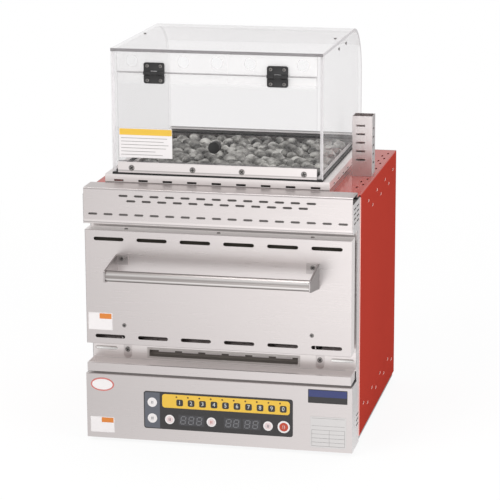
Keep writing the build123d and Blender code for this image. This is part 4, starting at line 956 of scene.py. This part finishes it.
bpy.ops.mesh.primitive_cylinder_add(
    vertices=24, radius=1, depth=HEAD_DEPTH, location=(0, -HEAD_DEPTH / 2, 0), rotation=ALONG["Y"]
)
cross_head = applied("cross_head")
edit_edges(cross_head, lambda a, b: a.y < -0.3 and b.y < -0.3)
bpy.ops.mesh.bevel(offset=0.24, segments=3, affect="EDGES")
bpy.ops.object.mode_set(mode="OBJECT")
dressed(cross_head, screw_steel)
for width, height in ((1.3, 0.3), (0.3, 1.3)):
    bpy.ops.mesh.primitive_cube_add(
        size=1, location=(0, -HEAD_DEPTH, 0), scale=(width, HEAD_DEPTH, height)
    )
    cutter = dressed(applied("cutter"), recess_shade)
    only(cross_head)
    cross_cut = cross_head.modifiers.new("cross_cut", "BOOLEAN")
    cross_cut.object = cutter
    cross_cut.solver = "EXACT"
    cross_cut.material_mode = "TRANSFER"
    bpy.ops.object.modifier_apply(modifier="cross_cut")
    bpy.data.objects.remove(cutter)
print(cross_head.name, len(cross_head.data.polygons), "faces")

# %% [markdown]
# ## Screws of the cabinet and the door
# A head lies in its packed screw's box. The thin side of that box says which way it faces:
# most face the front, and those on top face up. Each head is scaled to its box and turned.

# %% Copy the head to every place
driven = random.Random(5)
SCREW_REACH = 12


def screw_at(low, high):
    """A copy of the head that fills a packed screw's box."""
    size = high - low
    thin = min(range(3), key=lambda i: size[i])
    middle = (low + high) / 2
    seat = Vector((middle.x, high.y, middle.z))
    facing = Matrix.Identity(4)
    if thin == 2:
        seat = Vector((middle.x, middle.y, low.z))
        facing = Matrix.Rotation(-math.pi / 2, 4, "X")
    wide = max(size) / 2
    shape = Matrix.Diagonal((wide, size[thin] / HEAD_DEPTH, wide, 1))
    turn = Matrix.Rotation(driven.uniform(0, math.pi), 4, "Y")
    return copied(cross_head, Matrix.Translation(seat) @ facing @ turn @ shape)


for name, node, body in (
    ("cabinet_screw_heads", "cabinet_screws", "cabinet"), ("door_screw_heads", "door_screws", "door"),
):
    heads = [screw_at(low, high) for low, high in repeats(node, SCREW_REACH)]
    placed(joined(name, heads), body, "bright_steel", node)

# %% [markdown]
# ## The flap's screws and the nut behind its knob
# The four lower screws of the hinges ride on the flap. The knob is held through the sheet by a
# washer and a hexagonal nut, which are seen through the clear flap.

# %% Flap screws with nut and washer
knob_low, knob_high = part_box("flap_knob")
KNOB_X = (knob_low.x + knob_high.x) / 2 / MM
KNOB_Z = (knob_low.z + knob_high.z) / 2 / MM
FLAP_FRONT = 50
FLAP_BACK = 55
GAP = 0.05
WASHER_THICK = 1.1
NUT_THICK = 3.0
WASHER_Y = FLAP_BACK + GAP + WASHER_THICK / 2
NUT_Y = WASHER_Y + WASHER_THICK / 2 + GAP + NUT_THICK / 2

held = [
    screw_at(low, high) for low, high in repeats("flap_screws", SCREW_REACH)
    if high.y < FACE_Y + FLAP_BACK * MM
]
washer = soften(drum("washer", (KNOB_X, WASHER_Y, KNOB_Z), 5.9, WASHER_THICK), 0.25)
nut = soften(drum("nut", (KNOB_X, NUT_Y, KNOB_Z), 4.4, NUT_THICK, sides=6), 0.35)
held += [dressed(washer, screw_steel), dressed(nut, screw_steel)]
placed(joined("flap_screw_heads", held), "flap", "bright_steel", "flap_screws")
bpy.data.objects.remove(cross_head)

# %% [markdown]
# ## The flap's knob
# A turned black knob: a narrow neck, a wider head with rounded rims, and a shallow dish in its
# face, made by insetting the front face and pushing it in.

# %% Knob
NECK_LENGTH = 11
NECK_RADIUS = 6.2
KNOB_FRONT = 25.1
KNOB_LENGTH = 16.8
KNOB_RADIUS = 9.5
NECK_Y = FLAP_FRONT - NECK_LENGTH / 2
KNOB_Y = KNOB_FRONT + KNOB_LENGTH / 2

neck = drum("knob_neck", (KNOB_X, NECK_Y, KNOB_Z), NECK_RADIUS, NECK_LENGTH, sides=40)
head = drum("knob_head", (KNOB_X, KNOB_Y, KNOB_Z), KNOB_RADIUS, KNOB_LENGTH, sides=48)
edit_faces(head, lambda centre, normal: normal.y < -0.9)
bpy.ops.mesh.inset(thickness=2.4 * MM, depth=-0.6 * MM)
bpy.ops.object.mode_set(mode="OBJECT")
soften(head, 1.2, 3)
knob = dressed(joined("knob", [neck, head]), knob_black)
placed(knob, "flap", "black_plastic", "flap_knob")

# %% [markdown]
# ## Butterfly hinges of the flap
# Each hinge has two moulded leaves with rounded outer corners and a barrel of three knuckles
# in front of them. The upper leaf keeps the two outer knuckles and stays on the case. The
# lower leaf has the middle one and moves with the flap. A function makes a leaf of either
# kind: a plate, and for each knuckle a cylinder and a web that joins it to the plate.

# %% Hinge leaf
fixed_low, fixed_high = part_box("flap_hinge_fixed")
moving_low, moving_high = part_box("flap_hinge_moving")
LEAF_WIDTH = 34.5
LEAF_X = fixed_low.x / MM + LEAF_WIDTH / 2
HINGE_SPREAD = (fixed_high.x - fixed_low.x) / MM - LEAF_WIDTH
AXIS_Z = (fixed_low.z + moving_high.z) / 2 / MM
BARREL_Y = 45.8
BARREL_RADIUS = 3.1
LEAF_FRONT = 46
LEAF_NEAR = 3.7  # from the axis to the leaf's near edge
KNUCKLE_GAP = 0.2


def leaf(name, far_z, near_z, spans):
    """A leaf between two heights, with knuckles over some spans of its width."""
    plate = cuboid(
        name, (LEAF_X - LEAF_WIDTH / 2, LEAF_X + LEAF_WIDTH / 2), (LEAF_FRONT, FLAP_FRONT),
        sorted((far_z, near_z)),
    )
    outward = 1 if far_z > near_z else -1
    round_corners(plate, 3.6, test=lambda middle: (middle.z / MM - near_z) * outward > 4)
    soften(plate, 0.7)
    pieces = [plate]
    for start, end in spans:
        middle = LEAF_X + (start + end) / 2
        knuckle = drum(
            "knuckle", (middle, BARREL_Y, AXIS_Z), BARREL_RADIUS, end - start, "X", sides=24
        )
        web = cuboid(
            "web", (LEAF_X + start, LEAF_X + end), (BARREL_Y, FLAP_FRONT - 0.4),
            sorted((AXIS_Z, near_z + outward)),
        )
        pieces += [soften(knuckle, 0.3), web]
    return dressed(joined(name, pieces), black_plastic)


# %% [markdown]
# ## Two leaves for each hinge
# The knuckles share the width in thirds. The middle one belongs to the lower leaf and is a
# little shorter, so that it turns freely between the others.

# %% Make the leaves and copy them to the right
third = LEAF_WIDTH / 3
upper = leaf(
    "hinge_upper", fixed_high.z / MM, AXIS_Z + LEAF_NEAR,
    [(-1.5 * third, -third / 2), (third / 2, 1.5 * third)],
)
lower = leaf(
    "hinge_lower", moving_low.z / MM, AXIS_Z - LEAF_NEAR,
    [(-third / 2 + KNUCKLE_GAP, third / 2 - KNUCKLE_GAP)],
)
uppers = joined("hinge_uppers", [upper, copied(upper, to_the_right(HINGE_SPREAD))])
lowers = joined("hinge_lowers", [lower, copied(lower, to_the_right(HINGE_SPREAD))])
placed(uppers, "cabinet", "black_plastic", "flap_hinge_fixed")
placed(lowers, "flap", "black_plastic", "flap_hinge_moving")

# %% [markdown]
# ## The handle's bar
# A solid round bar whose ends are rounded a little. A cylinder with more sides than the packed
# one gives it clean bands of light.

# %% Handle bar
bar_low, bar_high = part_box("handle_bar")
bar_middle = (bar_low + bar_high) / 2
bpy.ops.mesh.primitive_cylinder_add(
    vertices=64, radius=(bar_high.z - bar_low.z) / 2, depth=bar_high.x - bar_low.x,
    location=bar_middle, rotation=ALONG["X"],
)
bar = dressed(soften(applied("round_bar"), 0.8), steel_bar)
placed(bar, "door", "stainless", "handle_bar")

# %% [markdown]
# ## Feet
# Four moulded rubber feet with a rounded foot rim. They are set back from the edges, so only a
# low view shows them.

# %% Feet
FOOT_REACH = 40
FOOT_RIM = 3
FOOT_DISH = 1.2

feet = []
for low, high in repeats("rubber_feet", FOOT_REACH):
    middle = (low + high) / 2
    bpy.ops.mesh.primitive_cylinder_add(
        vertices=40, radius=(high.x - low.x) / 2, depth=high.z - low.z, location=middle
    )
    foot = applied("foot")
    edit_faces(foot, lambda centre, normal: normal.z < -0.9)
    bpy.ops.mesh.inset(thickness=FOOT_RIM * MM, depth=-FOOT_DISH * MM)
    bpy.ops.object.mode_set(mode="OBJECT")
    feet.append(soften(foot, 1.0))
placed(dressed(joined("moulded_feet", feet), rubber), "cabinet", "rubber", "rubber_feet")

# %% [markdown]
# ## The stones of the warming case
# Rounded river stones fill the pan. Five different stones are made from small ico spheres: each
# is dented by moving its points, so that no two look alike when they are turned and flattened.
# A stone needs few faces, because smooth shading hides them at this size.

# %% Model five stones
lie = random.Random(11)
DENT_START = 0.72
DENT_SHARE = 0.7
UNEVEN = 0.03

shapes = []
for index in range(5):
    bpy.ops.mesh.primitive_ico_sphere_add(subdivisions=2, radius=1, location=(0, 0, 0))
    stone = applied(f"stone_{index}")
    dents = [Vector([lie.uniform(-1, 1) for _ in range(3)]).normalized() for _ in range(6)]
    for vertex in stone.data.vertices:
        for dent in dents:
            depth = vertex.co.normalized().dot(dent) - DENT_START
            if depth > 0:
                vertex.co -= dent * depth * DENT_SHARE
        vertex.co *= 1 + lie.uniform(-UNEVEN, UNEVEN)
    shapes.append(dressed(stone, stone_finish))
print(len(shapes), "stones of", len(shapes[0].data.polygons), "faces")

# %% [markdown]
# ## Filling the pan
# The stones lie in two layers. Every second row is shifted by half a step, as round things
# settle, and each stone is pushed, turned, leant and flattened by chance. The chance has a
# fixed seed, so the bed is the same each time.

# %% Lay the stones in two layers
bed_low, bed_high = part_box("stone_bed")
LEFT = bed_low.x / MM + 15
RIGHT = bed_high.x / MM - 15
NEAR = (bed_low.y - FACE_Y) / MM + 14
FAR = (bed_high.y - FACE_Y) / MM - 14
LAYERS = ((431, 24, 13.5), (441.5, 25, 13.0))
ROW_SHARE = 0.86
PUSH = 3

bed = []
for height, pitch, size in LAYERS:
    columns = int((RIGHT - LEFT + 18) / pitch)
    rows = int((FAR - NEAR + 16) / (pitch * ROW_SHARE))
    for j in range(rows):
        for i in range(columns):
            x = LEFT + (i + 0.5 * (j % 2)) * (RIGHT - LEFT) / (columns - 0.5)
            y = NEAR + j * (FAR - NEAR) / (rows - 1)
            x += lie.uniform(-PUSH, PUSH)
            y += lie.uniform(-PUSH, PUSH)
            turn = Matrix.Rotation(lie.uniform(0, 2 * math.pi), 4, "Z")
            lean = Matrix.Rotation(lie.uniform(-0.3, 0.3), 4, "X")
            long = size * lie.uniform(0.9, 1.1)
            flat = Matrix.Diagonal((long, size * lie.uniform(0.7, 0.9), size * 0.62, 1))
            middle = (min(max(x, LEFT), RIGHT), min(max(y, NEAR), FAR))
            spot = Matrix.Translation(at(*middle, height + lie.uniform(-2, 2.5)))
            scale = Matrix.Diagonal((MM, MM, MM, 1))
            bed.append(copied(lie.choice(shapes), spot @ turn @ lean @ scale @ flat))
for stone in shapes:
    bpy.data.objects.remove(stone)
placed(joined("river_stones", bed), "cabinet", "stone", "stone_bed")

# %% [markdown]
# ## The ledge behind the stones
# A low steel angle stands inside the back sheet and keeps the stones off it. It is a flat strip whose
# top is folded forwards over the last row of stones: a thin plate whose upper edge is extruded up and
# then forwards. A hem closes its front edge, white as a painted highlight along the fold.

# %% Rear ledge
LEDGE_X = (-180.5, 158.5)
LEDGE_BACK = 424.6
LEDGE_THICK = 1.2
LEDGE_TOP = 457.4
SHELF = 14

ledge = cuboid("rear_ledge", LEDGE_X, (LEDGE_BACK - LEDGE_THICK, LEDGE_BACK), (449.4, LEDGE_TOP))
edit_faces(ledge, lambda centre, normal: normal.z > 0.9)
bpy.ops.mesh.extrude_region_move(TRANSFORM_OT_translate={"value": (0, 0, LEDGE_THICK * MM)})
bpy.ops.object.mode_set(mode="OBJECT")
edit_faces(ledge, lambda centre, normal: normal.y < -0.9 and centre.z > LEDGE_TOP * MM)
bpy.ops.mesh.extrude_region_move(TRANSFORM_OT_translate={"value": (0, -SHELF * MM, 0)})
bpy.ops.object.mode_set(mode="OBJECT")
hem_front = LEDGE_BACK - LEDGE_THICK - SHELF - 1
hem = cuboid("ledge_hem", LEDGE_X, (hem_front, hem_front + 1), (LEDGE_TOP - 0.7, LEDGE_TOP + 1.4))
# The hem's white is a painted highlight.
pieces = [dressed(ledge, ledge_grey), dressed(soften(hem, 0.3), film_white)]
placed(joined("rear_ledge", pieces), "cabinet", "stainless")

# %% [markdown]
# ## The key film
# The controls are a flat film with raised keys. It is made as a thin sheet with rounded
# corners, and each printed zone is a second, thinner sheet on top of it: a grey column at the
# left and a yellow band along the top. Real layers of a few hundredths of a millimetre keep
# their outlines sharp in every view.

# %% Film sheet, column and band
film_low, film_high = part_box("key_membrane")
FILM_X = film_low.x / MM
FILM_Z = film_low.z / MM
FILM_RIGHT = film_high.x / MM
FILM_TOP = film_high.z / MM
FILM_FACE = -0.8
INK = 0.04
COLUMN_WIDTH = 25.7
BAND_X = FILM_X + 31.4
BAND_Z = FILM_Z + 37.4


def sheet(name, x, z, front, back, radius, finish, test=lambda middle: True):
    """A thin flat plate with rounded corners that faces the front."""
    plate = round_corners(cuboid(name, x, (front, back), z), radius, test=test)
    return dressed(plate, finish)


def zone(name, x, z, radius, finish, test=lambda middle: True):
    """A printed zone on the film."""
    return sheet(name, x, z, FILM_FACE - INK, FILM_FACE, radius, finish, test)


column_x = (FILM_X + 1.6, FILM_X + 1.6 + COLUMN_WIDTH)
film = [
    sheet("film", (FILM_X, FILM_RIGHT), (FILM_Z, FILM_TOP), FILM_FACE, 0, 4, film_black),
    zone(
        "film_column", column_x, (FILM_Z + 1.6, FILM_TOP - 1.6), 3, film_grey,
        test=lambda middle: middle.x / MM < FILM_X + 5,
    ),
    zone("film_band", (BAND_X, FILM_RIGHT - 5), (BAND_Z, FILM_TOP - 3.2), 5, film_yellow),
]
print("film", round(FILM_RIGHT - FILM_X, 1), "by", round(FILM_TOP - FILM_Z, 1), "mm")

# %% [markdown]
# ## Number keys
# Ten square keys stand in the band, each with a digit and a small lamp window above it. The
# digits are text turned into mesh. One key is modelled and copied: a rounded plate whose front
# is inset and raised a little, like the domes that are pressed into such films.

# %% Ten number keys with digits and lamp windows
KEY_PITCH = 19.38
KEY_X = FILM_X + 61.3
KEY_Z = FILM_Z + 47
KEY_HALF = 5.6
KEY_FACE = -1.08
DOME_RIM = 0.9
DOME_RISE = 0.08
DIGIT_SIZE = 9.5
DIGIT_THICK = 0.03


def figure(text, x, z):
    """A digit standing on a key, as a thin solid."""
    bpy.ops.object.text_add()
    words = bpy.context.object
    words.data.body = text
    words.data.size = DIGIT_SIZE * MM
    words.data.align_x = "CENTER"
    words.data.align_y = "CENTER"
    words.data.extrude = DIGIT_THICK * MM
    words.data.resolution_u = 3
    only(words)
    bpy.ops.object.convert(target="MESH")
    mark = bpy.context.object
    spot = Matrix.Translation(at(x, KEY_FACE - DOME_RISE - 0.01, z))
    mark.data.transform(spot @ Matrix.Rotation(math.pi / 2, 4, "X"))
    mark.name = mark.data.name = "figure"
    return dressed(mark, print_white)


key = sheet(
    "key", (KEY_X - KEY_HALF, KEY_X + KEY_HALF), (KEY_Z - KEY_HALF, KEY_Z + KEY_HALF), KEY_FACE,
    FILM_FACE, 2.6, film_black,
)
edit_faces(key, lambda centre, normal: normal.y < -0.9)
bpy.ops.mesh.inset(thickness=DOME_RIM * MM, depth=DOME_RISE * MM)
bpy.ops.object.mode_set(mode="OBJECT")
window = drum("window", (KEY_X - 5.4, -0.86, KEY_Z + 9.6), 1.5, 0.12, sides=16)
dressed(window, film_brown)
for i in range(10):
    step = i * KEY_PITCH
    digit = figure(str((i + 1) % 10), KEY_X + step, KEY_Z)
    film += [copied(key, to_the_right(step)), digit, copied(window, to_the_right(step))]
for model in (key, window):
    bpy.data.objects.remove(model)
print("ten keys", KEY_PITCH, "mm apart")

# %% [markdown]
# ## Round keys
# Five pale round keys and a larger red stop key. Each is a low drum whose face is inset and
# raised a little, with a coloured disc in its middle. In the place of a sign, each has two
# plain bars.

# %% Round keys
SMALL_RADIUS = 8
STOP_RADIUS = 10.3
ROUND_KEYS = [
    (14.5, 45.3, SMALL_RADIUS, film_white, film_grey),
    (14.5, 17.9, SMALL_RADIUS, film_white, film_grey),
    (44.0, 17.3, SMALL_RADIUS, film_pink, film_grey),
    (114.8, 17.1, SMALL_RADIUS, film_pink, film_red),
    (210.2, 16.6, SMALL_RADIUS, film_pink, film_grey),
    (236.5, 16.6, STOP_RADIUS, film_red, film_pink),
]


def round_key(x, z, radius, middle, mark):
    """A round key with a pale rim, a coloured middle and two short bars."""
    key = drum("round_key", (x, -0.9, z), radius, 0.2, sides=48)
    edit_faces(key, lambda centre, normal: normal.y < -0.9)
    bpy.ops.mesh.inset(thickness=radius * 0.16 * MM, depth=0.05 * MM)
    bpy.ops.object.mode_set(mode="OBJECT")
    face = drum("key_face", (x, KEY_FACE, z), radius * 0.72, 0.08, sides=40)
    bars = [
        sheet(
            "key_mark", (bar_x - 0.5, bar_x + 0.5), (z - radius * 0.3, z + radius * 0.3), -1.15,
            -1.12, 0.3, mark,
        )
        for bar_x in (x - radius * 0.14, x + radius * 0.14)
    ]
    return [dressed(key, film_white), dressed(face, middle), *bars]


for from_left, up, radius, middle, mark in ROUND_KEYS:
    film += round_key(FILM_X + from_left, FILM_Z + up, radius, middle, mark)
print(len(ROUND_KEYS), "round keys")

# %% [markdown]
# ## Number displays
# Behind smoked windows stand seven-segment digits, unlit and grey. A digit is seven small bars
# around its middle, and it leans a little. One is modelled, with all its segments, and copied to
# each place in the three windows.

# %% Seven-segment digits
LEAN = 0.14
BAR_THICK = 0.85  # half of a bar's thickness
FLAT_HALF = 2.9
UPRIGHT_HALF = 2.7
DISPLAY_Z = FILM_Z + 17.2
DISPLAYS = ((-65.1, -24.5, 3), (11.9, 37.7, 2), (43.4, 70.3, 2))


def segment(x, z, wide, high):
    """One bar of a digit, by its middle and its half sizes."""
    return sheet(
        "segment", (x - wide, x + wide), (z - high, z + high), -0.87, -0.83, 0.55, film_segment
    )


bars = [segment(0, DISPLAY_Z + up, FLAT_HALF, BAR_THICK) for up in (-6.4, 0, 6.4)]
bars += [
    segment(aside, DISPLAY_Z + up, BAR_THICK, UPRIGHT_HALF)
    for aside in (-3.9, 3.9) for up in (-3.2, 3.2)
]
eight = joined("eight", bars)
for vertex in eight.data.vertices:
    vertex.co.x += (vertex.co.z - DISPLAY_Z * MM) * LEAN
for low_x, high_x, count in DISPLAYS:
    film.append(sheet(
        "display", (low_x - 1.5, high_x + 1.5), (DISPLAY_Z - 9, DISPLAY_Z + 9), -0.83, FILM_FACE,
        0.8, film_window,
    ))
    step = (high_x - low_x) / count
    film += [copied(eight, to_the_right(low_x + step * (i + 0.5) - 0.4)) for i in range(count)]
bpy.data.objects.remove(eight)
placed(joined("key_film", film), "cabinet", "key_film", "key_membrane")

# %% [markdown]
# ## Plain plates and stickers
# The oven has a name plate, a rating plate and a few stickers. They carry no words here: each
# is a blank plate or sticker of the same size and place. Most have a coloured band over a part
# of them, and two have ruled lines in the place of their text.

# %% Blank plate
RULE_THICK = 0.03
STICKER_THICK = 0.15


def blank(name, body, slot, x, z, finish, band=None, rules=(), front=0, thick=STICKER_THICK,
          radius=0.8):
    """A blank rounded plate, with a band of (x, z, finish) and ruled lines of (x, z)."""
    face = front - thick
    pieces = [sheet(name, x, z, face, front, radius, finish)]
    pieces += [
        sheet("rule", rule_x, rule_z, face - RULE_THICK, face, 0.12, foil_line)
        for rule_x, rule_z in rules
    ]
    if band:
        band_x, band_z, ink = band
        pieces.append(sheet(name, band_x, band_z, face - INK, face, radius * 0.6, ink))
    return placed(joined(name, pieces), body, slot)


# %% [markdown]
# ## Places of the plates and stickers
# Two plates are on the control panel, one sticker is left of them, one is on the door and one
# on the flap, so each rides on the body that it is stuck to.

# %% Stick them on
across_plate = [((157, 212), (z, z + 0.5)) for z in (15.5, 22, 29, 36, 43, 50, 63)]
up_plate = [((x, x + 0.5), (15.5, 43.5)) for x in (157, 186, 211.5)]
text_lines = [
    ((-171, -171 + length), (z, z + 0.9))
    for length, z in ((78, 506.5), (72, 501), (80, 495.5), (76, 490), (58, 484.5), (70, 479))
]
blank(
    "two_tone_plate", "cabinet", "key_film", (151, 216), (89, 112), film_black,
    ((152, 215), (99.5, 111), film_navy), thick=0.5,
)
blank(
    "rating_plate", "cabinet", "bright_steel", (155, 214.4), (13, 66), foil,
    rules=across_plate + up_plate, thick=0.3, radius=1.2,
)
blank(
    "blank_sticker_low", "cabinet", "key_film", (-218, -177), (15.6, 42.4), film_white,
    ((-199, -178.5), (33, 41.5), film_orange),
)
blank(
    "blank_sticker_door", "door", "key_film", (-218, -177), (193, 222), film_white,
    ((-199, -178.5), (212, 221), film_orange),
)
blank(
    "flap_sticker", "flap", "key_film", (-174, -84.6), (474.5, 523), film_white,
    ((-173.4, -85.2), (512, 522.4), film_yellow), text_lines, front=FLAP_FRONT,
)

# %% [markdown]
# ## The oval badge
# A thin oval plate with a raised rim and a pale, plain field. It is a cylinder stretched
# sideways, with its face inset and pressed in, and a second, thinner one lies in the hollow.

# %% Oval badge
BADGE_X = -196.5
BADGE_Z = 99
BADGE_HALF = (20, 11.5)
FIELD_HALF = (17.6, 9.2)
RIM = 1.6

badge_middle = at(BADGE_X, -0.25, BADGE_Z)
bpy.ops.mesh.primitive_cylinder_add(
    vertices=64, radius=1, depth=0.5 * MM, location=badge_middle, rotation=ALONG["Y"]
)
bpy.context.object.scale = (BADGE_HALF[0] * MM, BADGE_HALF[1] * MM, 1)
badge = applied("oval_badge")
edit_faces(badge, lambda centre, normal: normal.y < -0.9)
bpy.ops.mesh.inset(thickness=RIM * MM, depth=-0.15 * MM)
bpy.ops.object.mode_set(mode="OBJECT")
dressed(badge, film_rose)
field = drum("badge_field", (BADGE_X, -0.45, BADGE_Z), 1, 0.2, sides=48)
field.data.transform(
    Matrix.Translation(badge_middle) @ Matrix.Diagonal((FIELD_HALF[0], 1, FIELD_HALF[1], 1))
    @ Matrix.Translation(-badge_middle)
)
placed(joined("oval_badge", [badge, dressed(field, film_white)]), "cabinet", "key_film")

# %% [markdown]
# ## Bright strips behind the end slots
# Light metal shows through the two short slots below the door. Each strip is a thin plate
# with a pressed field: its front face is inset and pushed back.

# %% Strips behind the end slots
STRIP_Y = (43.4, 44.6)
STRIP_Z = (145.5, 155.5)

for ends, name in (((-222, -177), "slot_strip_left"), ((177, 222), "slot_strip_right")):
    strip = cuboid(name, ends, STRIP_Y, STRIP_Z)
    edit_faces(strip, lambda centre, normal: normal.y < -0.9)
    bpy.ops.mesh.inset(thickness=0.8 * MM, depth=-0.5 * MM)
    bpy.ops.object.mode_set(mode="OBJECT")
    placed(dressed(strip, bright), "cabinet", "galvanised")

# %% [markdown]
# ## Small screws of the clear case
# The case is held together by small countersunk screws. Each lies flush in the sheet: a cone
# whose wide face is inset and pressed in for its recess.

# %% Countersunk screws in the acrylic
SCREW_RADIUS = 3
SCREW_DEPTH = 2.2
SUNK = 0.1
TOP_SCREWS = ((-176, 231), (152, 231))
SIDE_SCREWS = ((202, 640), (270, 640))
FACING_UP = Matrix.Identity(4)
FACING_RIGHT = Matrix.Rotation(math.pi / 2, 4, "Y")
case_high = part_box("case_top_back")[1]
CASE_TOP = case_high.z / MM - SUNK
CASE_SIDE = case_high.x / MM - SUNK


def flush_screw(place, turn):
    """A countersunk screw whose face lies at a place. The turn leads from +Z to its facing."""
    bpy.ops.mesh.primitive_cone_add(
        vertices=24, radius1=1.3 * MM, radius2=SCREW_RADIUS * MM, depth=SCREW_DEPTH * MM,
        location=(0, 0, -SCREW_DEPTH / 2 * MM),
    )
    screw = applied("flush_screw")
    edit_faces(screw, lambda centre, normal: normal.z > 0.9)
    bpy.ops.mesh.inset(thickness=1.3 * MM, depth=-0.5 * MM)
    bpy.ops.object.mode_set(mode="OBJECT")
    screw.data.transform(Matrix.Translation(at(*place)) @ turn)
    return dressed(screw, screw_steel)


small = [flush_screw((x, y, CASE_TOP), FACING_UP) for x, y in TOP_SCREWS]
small += [flush_screw((CASE_SIDE, y, z), FACING_RIGHT) for y, z in SIDE_SCREWS]
placed(joined("case_screws", small), "cabinet", "bright_steel")
